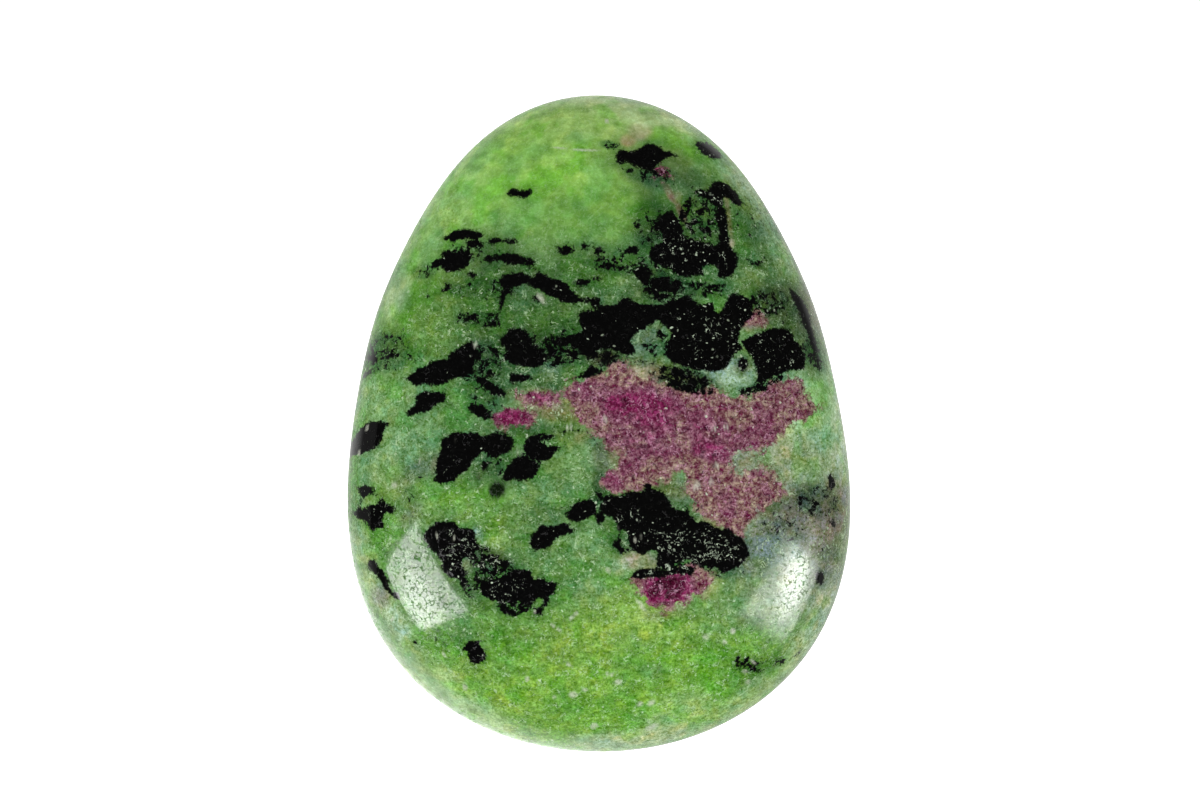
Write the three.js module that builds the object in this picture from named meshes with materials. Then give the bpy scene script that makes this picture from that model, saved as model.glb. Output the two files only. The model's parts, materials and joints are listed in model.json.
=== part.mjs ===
// A polished pebble of ruby in zoisite: one solid, egg-shaped in plan, gently domed on top, with a
// round girdle and a small flat worn on its underside, on which it lies. Millimetres, +Z up. The
// origin is on that flat, under the middle of the stone, and the narrow end points along +Y.
import * as THREE from "three";

// Driving dimensions of the stone.
const LENGTH = 40.0;
const THICKNESS = 12.4;
const HALF_WIDTH_AT_MIDDLE = 14.88;
const GIRDLE_HEIGHT = 5.6;

// The underside would be this deep below the girdle if it had no flat.
const KEEL_DEPTH = 6.0;

// How the half width changes from the middle to an end, as shares of itself: it tapers towards
// the narrow end, and both ends stay a little fuller than an ellipse's.
const TAPER = 0.226;
const END_FULLNESS = 0.118;
const NOSE_FULLNESS = 0.068;

// The flanks of the narrow half bulge by this share, about this share of the way to its tip.
const FLANK_BULGE = 0.016;
const FLANK_PLACE = 0.36;
const FLANK_SPREAD = 0.22;

// The narrow half sits this far to the left of the long axis, and the wide half to the right.
const LEAN = 0.09;
const LEAN_SHARPNESS = 4;

// The section is a superellipse: 2 is an ellipse, and more makes a flatter top and a tighter edge.
const SECTION_POWER = 2.6;

// The polishing wheel left the dome this uneven, in two long swells.
const SWELL_HEIGHT = 0.1;
const SWELL_TURN = 0.7;

// Facets round the stone, and up its side from the flat to the top of the dome.
const FACETS_ROUND = 120;
const FACETS_UP = 32;

// Height of the section's outer surface at each point on its way up, with the girdle at 0.
const sectionRise = (turn) => Math.sin(turn) * (turn < 0 ? KEEL_DEPTH : THICKNESS - GIRDLE_HEIGHT);

// Share of the plan outline that the section reaches at that point.
const sectionReach = (turn) => Math.max(Math.cos(turn), 0) ** (2 / SECTION_POWER);

// The section from the edge of the flat, round the girdle and up to the middle of the dome.
class Section extends THREE.Curve {
  getPoint(share, target = new THREE.Vector3()) {
    const start = -Math.asin(GIRDLE_HEIGHT / KEEL_DEPTH);
    const turn = start + share * (Math.PI / 2 - start);
    const reach = sectionReach(turn) * HALF_WIDTH_AT_MIDDLE;
    return target.set(reach, GIRDLE_HEIGHT + sectionRise(turn), 0);
  }
}

// A round blank with that section: evenly spaced rings, closed on the axis at both ends.
function turnedBlank() {
  const rings = new Section().getSpacedPoints(FACETS_UP);
  const profile = [new THREE.Vector2(0, 0)];
  for (const [i, ring] of rings.entries()) {
    const onAxis = i === FACETS_UP;
    const height = i === 0 ? 0 : ring.y;
    profile.push(new THREE.Vector2(onAxis ? 0 : ring.x, height));
  }
  return new THREE.LatheGeometry(profile, FACETS_ROUND).rotateX(Math.PI / 2);
}

// Half width of the plan outline at a share of the half length, over that of a plain ellipse.
function eggFactor(along) {
  const egg = 1 - TAPER * along + END_FULLNESS * along ** 2 + NOSE_FULLNESS * along ** 3;
  return egg + FLANK_BULGE * Math.exp(-(((along - FLANK_PLACE) / FLANK_SPREAD) ** 2));
}

// Draws the round blank out to the egg-shaped plan, and lays the long swells on its dome.
function eggShaped(blank) {
  const place = blank.getAttribute("position");
  for (let i = 0; i < place.count; i++) {
    const across = place.getX(i) / HALF_WIDTH_AT_MIDDLE;
    const along = place.getY(i) / HALF_WIDTH_AT_MIDDLE;
    const height = place.getZ(i);
    const reach = Math.hypot(across, along);
    const sine = reach > 0 ? along / reach : 0;
    const raised = height / THICKNESS;
    const swell = Math.sin(2 * Math.atan2(along, across) + SWELL_TURN) * reach ** 2;
    const lean = LEAN * reach * Math.tanh(LEAN_SHARPNESS * sine);
    place.setXYZ(
      i,
      across * HALF_WIDTH_AT_MIDDLE * eggFactor(sine) - lean,
      (along * LENGTH) / 2,
      height + SWELL_HEIGHT * swell * raised * (1 - raised) * 4,
    );
  }
  return blank;
}

// Sets the stone down with the middle of its plan over the origin.
function centred(solid) {
  solid.computeBoundingBox();
  const middle = solid.boundingBox.getCenter(new THREE.Vector3());
  return solid.translate(-middle.x, -middle.y, 0);
}

const stone = new THREE.Mesh(
  centred(eggShaped(turnedBlank())),
  new THREE.MeshStandardMaterial({ color: 0x6f9a4f, roughness: 0.22, metalness: 0 }),
);
stone.name = "stone";
stone.geometry.computeVertexNormals();

const rubyInZoisite = new THREE.Group();
rubyInZoisite.add(stone);

export default rubyInZoisite;
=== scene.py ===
# A polished pebble of ruby in zoisite, lying on a white table and seen from straight above.
import json
import math

import bpy
import numpy as np
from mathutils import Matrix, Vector

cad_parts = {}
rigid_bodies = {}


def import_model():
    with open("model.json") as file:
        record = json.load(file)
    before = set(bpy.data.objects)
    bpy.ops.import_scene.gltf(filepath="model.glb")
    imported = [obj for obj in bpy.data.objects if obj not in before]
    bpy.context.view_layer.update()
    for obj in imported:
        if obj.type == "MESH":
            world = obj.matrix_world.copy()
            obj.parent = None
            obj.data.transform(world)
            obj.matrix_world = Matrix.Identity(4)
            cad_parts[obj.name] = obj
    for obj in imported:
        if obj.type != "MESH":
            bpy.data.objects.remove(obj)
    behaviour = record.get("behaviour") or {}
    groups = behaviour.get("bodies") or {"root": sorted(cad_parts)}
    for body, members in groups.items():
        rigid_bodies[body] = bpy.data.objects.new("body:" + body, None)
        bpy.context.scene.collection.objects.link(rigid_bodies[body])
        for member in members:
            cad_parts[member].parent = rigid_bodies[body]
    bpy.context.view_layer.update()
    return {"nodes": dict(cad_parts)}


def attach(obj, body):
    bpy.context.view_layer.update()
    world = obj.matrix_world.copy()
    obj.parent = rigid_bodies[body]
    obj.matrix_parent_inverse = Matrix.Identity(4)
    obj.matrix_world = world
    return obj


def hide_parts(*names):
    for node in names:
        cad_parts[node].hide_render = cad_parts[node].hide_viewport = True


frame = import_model()

# The camera hangs over the stone on a copy stand and looks straight down, with the narrow end of
# the stone at the top of the picture. Every place named in "photo pixels" below is a place in its
# 1200 by 804 picture, so the camera comes first.
MM = 0.001
PHOTO_WIDTH = 1200
PHOTO_HEIGHT = 804
LENS_MM = 100.0
SENSOR_MM = 36.0
NEAREST_MM = 10
CAMERA_X_MM = 0.06
CAMERA_Y_MM = 1.31
CAMERA_HEIGHT_MM = 208.0
FOCAL_PX = LENS_MM / SENSOR_MM * PHOTO_WIDTH

copy_stand = bpy.data.cameras.new("copy_stand_camera")
copy_stand.lens = LENS_MM
copy_stand.sensor_width = SENSOR_MM
copy_stand.clip_start = NEAREST_MM * MM
camera = bpy.data.objects.new("copy_stand_camera", copy_stand)
camera.location = Vector((CAMERA_X_MM, CAMERA_Y_MM, CAMERA_HEIGHT_MM)) * MM
bpy.context.scene.collection.objects.link(camera)
bpy.context.scene.camera = camera
bpy.context.scene.view_settings.view_transform = "Standard"

# The stone: one pebble of anyolite, which is green zoisite with black hornblende and ruby grown
# through it. It was sawn, tumbled and polished to a palm stone, so it is one smooth egg-shaped
# body, and everything that shows on it is colour and polish.
CROWN_RINGS = 13
CROWN_GRID = 30
CROWN_EVENING = 30
MERGE_GAP = 0.001 * MM
EVENING_SHARE = 0.5
FINE_ABOVE = 4.0 * MM
FINE_CUTS = 2
POLISHING_PASSES = 5

cad_stone = frame["nodes"]["stone"]
pebble = bpy.data.objects.new("pebble", cad_stone.data.copy())
bpy.context.scene.collection.objects.link(pebble)
bpy.ops.object.select_all(action="DESELECT")
pebble.select_set(True)
bpy.context.view_layer.objects.active = pebble
pebble.data.materials.clear()

bpy.ops.object.mode_set(mode="EDIT")
bpy.ops.mesh.select_all(action="SELECT")
bpy.ops.mesh.remove_doubles(threshold=MERGE_GAP)
bpy.ops.mesh.tris_convert_to_quads()


def refill_with_grid(highest, rings):
    """Takes the fan of triangles off a pole, and closes the hole with an even grid."""
    bpy.ops.mesh.select_all(action="DESELECT")
    bpy.ops.object.mode_set(mode="OBJECT")
    upwards = 1 if highest else -1
    poleward = [corner.co.z * upwards - math.hypot(*corner.co.xy) for corner in pebble.data.vertices]
    pole = int(np.argmax(poleward))
    pebble.data.vertices[pole].select = True
    bpy.ops.object.mode_set(mode="EDIT")
    for _ in range(rings):
        bpy.ops.mesh.select_more()
    bpy.ops.mesh.delete(type="VERT")
    bpy.ops.mesh.select_non_manifold()
    bpy.ops.mesh.fill_grid(span=CROWN_GRID)
    bpy.ops.mesh.vertices_smooth(factor=EVENING_SHARE, repeat=CROWN_EVENING)


bpy.ops.mesh.select_mode(type="VERT")
refill_with_grid(highest=True, rings=CROWN_RINGS)
refill_with_grid(highest=False, rings=0)
bpy.ops.mesh.select_all(action="SELECT")
bpy.ops.mesh.normals_make_consistent(inside=False)
bpy.ops.object.mode_set(mode="OBJECT")

# The grids are laid back on the stone, and the whole body is rounded.
lay_back = pebble.modifiers.new("lay_back", "SHRINKWRAP")
lay_back.target = cad_stone
lay_back.wrap_method = "NEAREST_SURFACEPOINT"
bpy.ops.object.modifier_apply(modifier="lay_back")
rounding = pebble.modifiers.new("rounding", "SUBSURF")
rounding.levels = 1
rounding.render_levels = 1
bpy.ops.object.modifier_apply(modifier="rounding")

# The side that shows its markings is cut finer, and the last facets are polished off.
bpy.ops.object.mode_set(mode="EDIT")
bpy.ops.mesh.select_all(action="DESELECT")
bpy.ops.mesh.select_mode(type="FACE")
bpy.ops.object.mode_set(mode="OBJECT")
for face in pebble.data.polygons:
    face.select = face.center.z > FINE_ABOVE
bpy.ops.object.mode_set(mode="EDIT")
bpy.ops.mesh.subdivide(number_cuts=FINE_CUTS)
bpy.ops.mesh.select_all(action="SELECT")
bpy.ops.mesh.vertices_smooth(factor=EVENING_SHARE, repeat=POLISHING_PASSES)
bpy.ops.object.mode_set(mode="OBJECT")
bpy.ops.object.shade_smooth()

# Where each point of the surface lies in the photograph. The steep side is rolled outwards past
# the outline, so that the markings run on down it without being drawn out into streaks.
GIRDLE_MM = 5.6
DOME_MM = 6.8
KEEL_MM = 6.0
SECTION_POWER = 2.6
MEAN_HALF_WIDTH_MM = 16.5
STEEP_SHARE = 0.5
LOWEST_TURN = -1.2
SECTION_STEPS = 600
AXIS_MM = 1

corners_mm = np.empty(len(pebble.data.vertices) * 3)
pebble.data.vertices.foreach_get("co", corners_mm)
corners_mm = corners_mm.reshape(-1, 3) / MM
plan_mm = corners_mm[:, :2]
height_mm = corners_mm[:, 2]

section_turn = np.linspace(math.pi / 2, LOWEST_TURN, SECTION_STEPS)
section_reach = np.maximum(np.cos(section_turn), 0) ** (2 / SECTION_POWER) * MEAN_HALF_WIDTH_MM
section_height = GIRDLE_MM + np.sin(section_turn) * np.where(section_turn < 0, KEEL_MM, DOME_MM)
step_out = np.diff(section_reach)
step_along = np.hypot(step_out, np.diff(section_height))
rolled_out = np.concatenate([[0], np.cumsum(np.maximum(step_out, step_along * STEEP_SHARE))])
reach_there = np.interp(height_mm, section_height[::-1], section_reach[::-1])
rolled_there = np.interp(height_mm, section_height[::-1], rolled_out[::-1])
stretch = rolled_there / np.maximum(reach_there, AXIS_MM)
rolling = np.where(reach_there > MEAN_HALF_WIDTH_MM / 2, stretch, 1)


def in_photo_pixels(plan, height):
    """Where the camera sees each place on the stone, in photo pixels."""
    scale = FOCAL_PX / (CAMERA_HEIGHT_MM - height)
    across = PHOTO_WIDTH / 2 + scale * (plan[:, 0] - CAMERA_X_MM)
    down = PHOTO_HEIGHT / 2 - scale * (plan[:, 1] - CAMERA_Y_MM)
    return np.stack([across, down], axis=1)


seen_from_above = in_photo_pixels(plan_mm * rolling[:, None], height_mm)

# Ruby and hornblende run through the stone on a slant, so its underside shows them shifted and a
# little bent. It blends into the upper side just under the girdle.
SLANT_PX = (26.0, -34.0)
BEND_PX = 15.0
BEND_LENGTH_PX = 34.0
UNDERSIDE_ENDS_MM = 2.6
UNDERSIDE_BLEND_MM = 1.8

below = in_photo_pixels(plan_mm, height_mm)
bend = np.sin(below[:, ::-1] / BEND_LENGTH_PX) * BEND_PX
seen_through = below + np.array(SLANT_PX) + bend
upper_share = np.clip((height_mm - UNDERSIDE_ENDS_MM) / UNDERSIDE_BLEND_MM, 0, 1)

# Black hornblende: lenses and masses, each outlined in photo pixels.
HORNBLENDE = {
    "upper bar": [
        (443, 237), (447, 234), (452, 231), (460, 230), (470, 229), (478, 231), (483, 234), (482, 238),
        (476, 240), (468, 240), (460, 240), (452, 242), (446, 240)],
    "knob under the upper bar": [
        (466, 241), (476, 240), (482, 242), (484, 245), (481, 249), (474, 249), (468, 247)],
    "thread by the upper bar": [(487, 243), (491, 239), (505, 239), (519, 239), (516, 243), (500, 243)],
    "lone lens near the tip": [
        (507, 194), (511, 190), (516, 189), (520, 191), (526, 189), (533, 192), (530, 196), (525, 198),
        (515, 197)],
    "first fleck of the row": [
        (553, 245), (558, 247), (571, 246), (574, 248), (573, 253), (568, 255), (560, 254), (557, 250)],
    "second fleck of the row": [(581, 243), (585, 242), (589, 245), (586, 249), (582, 248)],
    "third fleck of the row": [(594, 248), (600, 247), (606, 251), (604, 254), (598, 253)],
    "fourth fleck of the row": [(624, 252), (627, 248), (632, 244), (637, 246), (640, 250), (634, 254)],
    "upper left blob": [
        (430, 265), (434, 259), (442, 258), (443, 252), (456, 249), (468, 250), (473, 255), (470, 263),
        (464, 268), (454, 272), (444, 271), (441, 267), (436, 270)],
    "second bar": [
        (483, 261), (488, 256), (500, 254), (511, 254), (522, 256), (533, 260), (534, 265), (525, 266),
        (512, 265), (503, 262), (494, 262)],
    "third bar": [
        (498, 281), (502, 276), (511, 273), (524, 273), (533, 277), (538, 272), (545, 275), (556, 278),
        (565, 281), (571, 288), (580, 297), (590, 298), (600, 297), (600, 303), (580, 303), (570, 304),
        (560, 301), (550, 297), (543, 292), (533, 288), (525, 285), (517, 288), (506, 290), (500, 286)],
    "crumb under the third bar": [(531, 298), (535, 294), (540, 297), (541, 302), (536, 302)],
    "upright thread": [
        (501, 291), (505, 291), (504, 300), (502, 310), (497, 317), (494, 316), (498, 309), (500, 300)],
    "lens at the foot of the thread": [
        (483, 326), (487, 320), (494, 319), (500, 320), (502, 324), (500, 328), (488, 326)],
    "wisp left of the thread": [
        (459, 318), (462, 314), (466, 317), (474, 314), (480, 317), (476, 320), (463, 322)],
    "chip under the blob": [(468, 273), (480, 272), (477, 276), (472, 280)],
    "small chip on the left": [(440, 292), (444, 288), (446, 284), (452, 284), (450, 289), (445, 293)],
    "left speck": [(426, 297), (428, 295), (430, 297), (428, 299)],
    "speck by the blob": [(424, 272), (429, 272), (428, 278), (425, 278)],
    "rim speck": [(380, 339), (384, 337), (389, 336), (387, 340), (384, 343)],
    "rim chip": [
        (382, 358), (386, 354), (391, 351), (394, 347), (396, 352), (400, 355), (396, 357), (388, 359)],
    "rim smudge": [(366, 357), (372, 352), (377, 354), (379, 361), (374, 365), (369, 362)],
    "lower rim smudge": [(362, 377), (366, 371), (372, 368), (370, 374)],
    "flake left of the long lens": [(414, 361), (419, 357), (425, 355), (424, 358), (418, 361)],
    "long lens": [
        (403, 379), (409, 375), (414, 371), (424, 365), (433, 361), (441, 360), (447, 359), (449, 353),
        (456, 349), (462, 345), (467, 342), (473, 341), (475, 345), (480, 346), (480, 352), (477, 360),
        (475, 367), (473, 374), (465, 378), (457, 378), (450, 381), (443, 386), (434, 386), (424, 385),
        (416, 386), (409, 382)],
    "diamond lens": [
        (405, 416), (408, 411), (416, 402), (414, 397), (419, 393), (425, 390), (433, 391), (444, 393),
        (445, 399), (439, 403), (434, 407), (431, 411), (423, 413), (414, 415), (408, 417)],
    "twin lens": [
        (501, 341), (503, 335), (511, 329), (519, 328), (526, 331), (532, 338), (533, 343), (537, 348),
        (544, 352), (548, 358), (543, 364), (536, 368), (527, 367), (516, 365), (506, 362), (501, 356),
        (507, 351), (502, 346)],
    "strip beside the twin lens": [
        (541, 345), (548, 346), (556, 348), (561, 350), (560, 355), (554, 358), (549, 357)],
    "small lens": [
        (508, 379), (511, 374), (518, 372), (527, 373), (533, 376), (531, 380), (524, 382), (517, 384),
        (510, 383)],
    "slanting smudge": [
        (473, 377), (480, 376), (487, 380), (494, 384), (501, 389), (506, 397), (499, 397), (490, 392),
        (482, 387), (475, 382)],
    "lens over the middle": [
        (573, 282), (580, 280), (588, 279), (600, 276), (601, 280), (593, 281), (588, 285), (580, 286),
        (575, 285)],
    "wedge over the middle": [
        (600, 261), (609, 260), (616, 265), (624, 268), (632, 268), (637, 264), (646, 266), (651, 271),
        (652, 279), (650, 287), (645, 288), (640, 282), (634, 276), (626, 272), (612, 270), (600, 268)],
    "bridge between the masses": [
        (655, 304), (664, 302), (674, 299), (686, 299), (692, 306), (690, 320), (682, 330), (673, 332),
        (665, 326), (657, 318)],
    "link from the twin lens": [
        (546, 340), (556, 338), (566, 338), (576, 336), (584, 340), (588, 346), (580, 349), (568, 347),
        (556, 346), (548, 345)],
    "blob over the lobes": [
        (469, 404), (474, 401), (480, 404), (486, 409), (492, 415), (487, 420), (478, 417), (471, 411)],
    "hole in the mint patch": [
        (738, 360), (742, 357), (747, 359), (748, 365), (745, 370), (740, 369), (737, 365)],
    "black over the trace": [
        (727, 296), (738, 294), (750, 297), (754, 304), (752, 312), (744, 315), (738, 322), (732, 318),
        (727, 308)],
    "west mass": [
        (590, 299), (600, 304), (611, 305), (619, 301), (624, 297), (631, 299), (637, 303), (650, 304),
        (660, 305), (665, 312), (663, 318), (657, 322), (651, 326), (643, 331), (636, 334), (632, 340),
        (634, 346), (637, 351), (632, 355), (623, 355), (612, 351), (600, 350), (592, 355), (586, 357),
        (580, 353), (574, 347), (566, 344), (560, 342), (568, 335), (575, 333), (581, 331), (579, 324),
        (578, 317), (581, 312), (591, 311), (598, 310), (592, 305)],
    "wedge on the ruby": [
        (570, 381), (577, 377), (584, 371), (590, 366), (600, 368), (610, 366), (602, 372), (592, 376),
        (582, 379)],
    "east mass": [
        (668, 318), (671, 310), (675, 304), (680, 297), (688, 296), (694, 299), (698, 303), (704, 304),
        (711, 302), (715, 308), (718, 312), (721, 310), (724, 303), (729, 297), (740, 296), (750, 297),
        (752, 305), (752, 316), (746, 322), (742, 330), (738, 338), (741, 344), (745, 350), (739, 351),
        (734, 354), (731, 361), (728, 368), (719, 371), (709, 372), (693, 370), (681, 366), (670, 361),
        (665, 356), (664, 348), (668, 340), (672, 336), (668, 328), (667, 320)],
    "notch under the east mass": [
        (671, 385), (678, 382), (688, 385), (696, 391), (692, 394), (684, 391), (676, 390)],
    "right lower mass": [
        (741, 342), (751, 335), (766, 330), (780, 327), (790, 331), (796, 340), (803, 348), (806, 354),
        (806, 363), (804, 370), (790, 370), (781, 375), (770, 379), (762, 385), (751, 391), (741, 394),
        (736, 391), (742, 388), (751, 388), (758, 380), (755, 371), (753, 363), (750, 356), (745, 350)],
    "rim stroke": [
        (790, 288), (798, 296), (806, 308), (811, 321), (815, 337), (819, 355), (822, 373), (819, 373),
        (814, 357), (809, 340), (803, 324), (797, 310), (791, 298)],
    "chip over the east mass": [
        (701, 285), (708, 283), (716, 286), (725, 284), (724, 289), (716, 291), (707, 290)],
    "flake right of the dark corner": [
        (747, 258), (753, 261), (760, 259), (765, 257), (764, 262), (757, 266), (751, 264)],
    "patch on the crown": [
        (614, 158), (620, 150), (632, 150), (640, 147), (648, 144), (658, 145), (664, 149), (670, 150),
        (678, 156), (668, 158), (662, 160), (658, 166), (652, 174), (645, 173), (638, 168), (628, 163),
        (618, 163)],
    "patch on the crown's rim": [
        (696, 143), (703, 142), (711, 144), (717, 149), (722, 157), (716, 159), (709, 157), (702, 154),
        (698, 149)],
    "dark corner": [
        (654, 224), (659, 217), (665, 213), (672, 212), (677, 217), (680, 223), (683, 230), (684, 236),
        (692, 238), (700, 240), (710, 243), (716, 246), (718, 236), (716, 226), (713, 216), (716, 208),
        (712, 203), (703, 200), (697, 196), (693, 192), (700, 189), (708, 190), (712, 184), (716, 180),
        (723, 182), (730, 187), (737, 193), (743, 202), (739, 208), (731, 203), (725, 198), (723, 206),
        (727, 214), (728, 226), (730, 240), (733, 250), (738, 256), (738, 264), (733, 274), (725, 279),
        (715, 277), (700, 275), (688, 278), (678, 275), (670, 268), (660, 266), (651, 262), (648, 255),
        (650, 247), (656, 244), (662, 240), (660, 233), (655, 229)],
    "lens on the left rim": [
        (340, 446), (350, 440), (355, 434), (360, 428), (365, 424), (370, 421), (378, 421), (386, 422),
        (391, 423), (388, 425), (385, 430), (383, 436), (381, 441), (376, 448), (371, 451), (365, 453),
        (358, 455), (350, 457), (342, 456)],
    "hooked patch on the left rim": [
        (353, 512), (357, 508), (359, 502), (360, 497), (358, 492), (357, 487), (363, 485), (368, 486),
        (373, 485), (376, 488), (374, 490), (376, 495), (370, 495), (365, 497), (363, 501), (362, 507),
        (367, 507), (368, 505), (373, 503), (379, 501), (382, 499), (386, 502), (391, 505), (396, 509),
        (395, 512), (391, 514), (385, 516), (382, 520), (384, 524), (383, 528), (378, 530), (370, 531),
        (367, 525), (363, 521), (358, 519), (354, 515)],
    "big lens": [
        (430, 482), (434, 478), (436, 470), (436, 462), (438, 456), (440, 448), (441, 442), (444, 438),
        (450, 435), (455, 432), (464, 431), (473, 432), (481, 434), (486, 435), (494, 432), (501, 433),
        (507, 435), (512, 438), (515, 440), (514, 445), (511, 448), (508, 452), (504, 455), (498, 457),
        (492, 458), (487, 456), (483, 452), (477, 458), (474, 462), (471, 468), (465, 472), (459, 476),
        (455, 479), (450, 483), (441, 485), (436, 483)],
    "upper lens of the pair": [
        (514, 458), (520, 455), (524, 450), (523, 447), (524, 441), (528, 437), (533, 434), (540, 433),
        (546, 434), (556, 433), (562, 431), (567, 430), (573, 430), (566, 433), (560, 435), (554, 437),
        (547, 441), (541, 442), (544, 444), (549, 446), (554, 446), (560, 448), (559, 451), (556, 453),
        (554, 456), (551, 459), (545, 460), (539, 461), (532, 459), (524, 458)],
    "lower lens of the pair": [
        (501, 478), (503, 471), (507, 466), (512, 462), (514, 458), (520, 455), (526, 455), (532, 458),
        (538, 463), (540, 466), (538, 470), (537, 474), (533, 478), (529, 480), (525, 481), (520, 480),
        (514, 480), (507, 481), (503, 480)],
    "tail of the pair": [
        (566, 430), (573, 429), (580, 430), (586, 430), (591, 433), (596, 440), (598, 447), (594, 441),
        (589, 434), (582, 432), (573, 431)],
    "comma lens": [
        (530, 541), (532, 536), (535, 530), (538, 525), (542, 523), (549, 525), (556, 525), (562, 524),
        (567, 523), (570, 526), (573, 529), (576, 531), (574, 533), (568, 534), (562, 537), (557, 540),
        (553, 544), (546, 548), (540, 550), (534, 550), (531, 546)],
    "round lens": [
        (565, 516), (568, 512), (571, 509), (573, 504), (576, 500), (582, 499), (591, 499), (595, 501),
        (597, 507), (596, 513), (591, 517), (585, 520), (579, 521), (573, 521), (569, 520)],
    "crumb beside the round lens": [
        (595, 518), (598, 514), (602, 511), (604, 515), (604, 520), (602, 524), (598, 524), (595, 521)],
    "heart mass": [
        (600, 512), (600, 503), (604, 496), (610, 494), (617, 496), (623, 494), (631, 491), (640, 492),
        (644, 489), (644, 486), (647, 484), (650, 485), (653, 488), (658, 490), (663, 492), (667, 495),
        (670, 499), (672, 505), (674, 508), (680, 509), (686, 510), (690, 513), (692, 517), (698, 521),
        (705, 521), (713, 525), (720, 529), (729, 528), (732, 532), (737, 536), (742, 538), (744, 543),
        (748, 546), (750, 554), (746, 560), (741, 566), (736, 569), (730, 572), (724, 573), (719, 571),
        (715, 568), (710, 569), (704, 568), (698, 565), (692, 563), (685, 561), (679, 563), (674, 568),
        (670, 570), (664, 569), (658, 568), (656, 562), (658, 555), (653, 550), (648, 552), (643, 555),
        (636, 553), (630, 551), (624, 554), (619, 554), (618, 549), (613, 548), (612, 544), (617, 540),
        (618, 533), (617, 528), (618, 524), (614, 521), (609, 516)],
    "cap on the small ruby": [
        (631, 577), (634, 570), (644, 568), (656, 567), (668, 568), (680, 566), (690, 566), (696, 570),
        (688, 574), (676, 573), (664, 577), (650, 578), (640, 579)],
    "trunk of the lower left mass": [
        (424, 533), (428, 528), (433, 525), (436, 522), (444, 522), (452, 521), (457, 523), (459, 527),
        (465, 528), (473, 529), (475, 533), (476, 539), (478, 543), (484, 547), (490, 550), (480, 552),
        (474, 553), (470, 557), (464, 559), (461, 563), (464, 568), (467, 572), (466, 578), (469, 583),
        (466, 588), (470, 594), (474, 597), (469, 597), (464, 592), (461, 584), (458, 579), (450, 578),
        (444, 575), (441, 569), (441, 560), (434, 553), (429, 548), (425, 539)],
    "foot of the lower left mass": [
        (479, 587), (479, 583), (482, 580), (485, 578), (495, 576), (501, 575), (507, 574), (510, 569),
        (519, 568), (526, 569), (531, 571), (532, 575), (535, 579), (539, 578), (544, 578), (548, 581),
        (555, 582), (558, 586), (557, 589), (559, 592), (556, 593), (551, 596), (550, 601), (548, 605),
        (544, 609), (544, 614), (540, 615), (535, 614), (533, 610), (529, 609), (523, 611), (519, 616),
        (510, 615), (503, 614), (498, 610), (499, 605), (496, 601), (492, 601), (487, 598), (483, 596),
        (480, 592)],
    "square chip": [
        (461, 650), (464, 646), (466, 642), (470, 641), (477, 640), (480, 641), (483, 638), (483, 642),
        (481, 645), (484, 650), (485, 655), (485, 659), (481, 662), (479, 664), (473, 664), (470, 662),
        (468, 659), (467, 654), (466, 651)],
    "torn patch on the left shoulder": [
        (368, 564), (372, 560), (376, 561), (379, 567), (383, 569), (386, 574), (388, 583), (392, 590),
        (398, 592), (402, 597), (399, 600), (394, 599), (389, 594), (384, 588), (380, 581), (375, 574),
        (371, 571)],
    "torn patch on the right shoulder": [
        (816, 573), (821, 571), (824, 576), (824, 582), (821, 586), (817, 584), (815, 579)],
    "chip on the right edge": [(776, 661), (781, 659), (788, 657), (785, 661), (782, 665), (779, 663)],
    "sliver on the right edge": [(793, 657), (797, 654), (801, 650), (799, 654), (795, 657)],
    "crumb on the right": [(748, 666), (753, 664), (757, 668), (760, 671), (756, 673), (751, 671)],
    "fleck left of it": [(735, 659), (738, 658), (741, 664), (740, 667), (736, 664)],
    "speck on the left edge": [(414, 641), (416, 642), (417, 645), (415, 644)],
    "dot under the lens": [(435, 638), (437, 638), (438, 641), (435, 641)],
    "dot beside it": [(442, 642), (444, 642), (445, 645), (442, 645)],
    "spot between the lenses": [(481, 463), (485, 461), (489, 464), (488, 468), (484, 470), (481, 467)],
    "streak on the right edge": [
        (827, 475), (831, 473), (834, 478), (835, 484), (832, 489), (829, 487), (828, 481)],
    "chip on the right rim": [(828, 521), (833, 520), (836, 524), (832, 527)],
}

# Places in those masses where the zoisite shows through again.
WINDOWS = {
    "window in the dark corner": [(703, 268), (708, 265), (715, 267), (716, 274), (712, 279), (705, 277)],
    "window in the heart mass": [
        (620, 533), (625, 530), (629, 535), (627, 541), (629, 546), (624, 548), (620, 544), (622, 539)],
    "window in the foot": [(533, 602), (538, 599), (542, 601), (541, 606), (536, 608), (533, 606)],
    "upper window in the foot": [(506, 603), (512, 600), (519, 603), (524, 606), (519, 609), (511, 608)],
}

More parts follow.
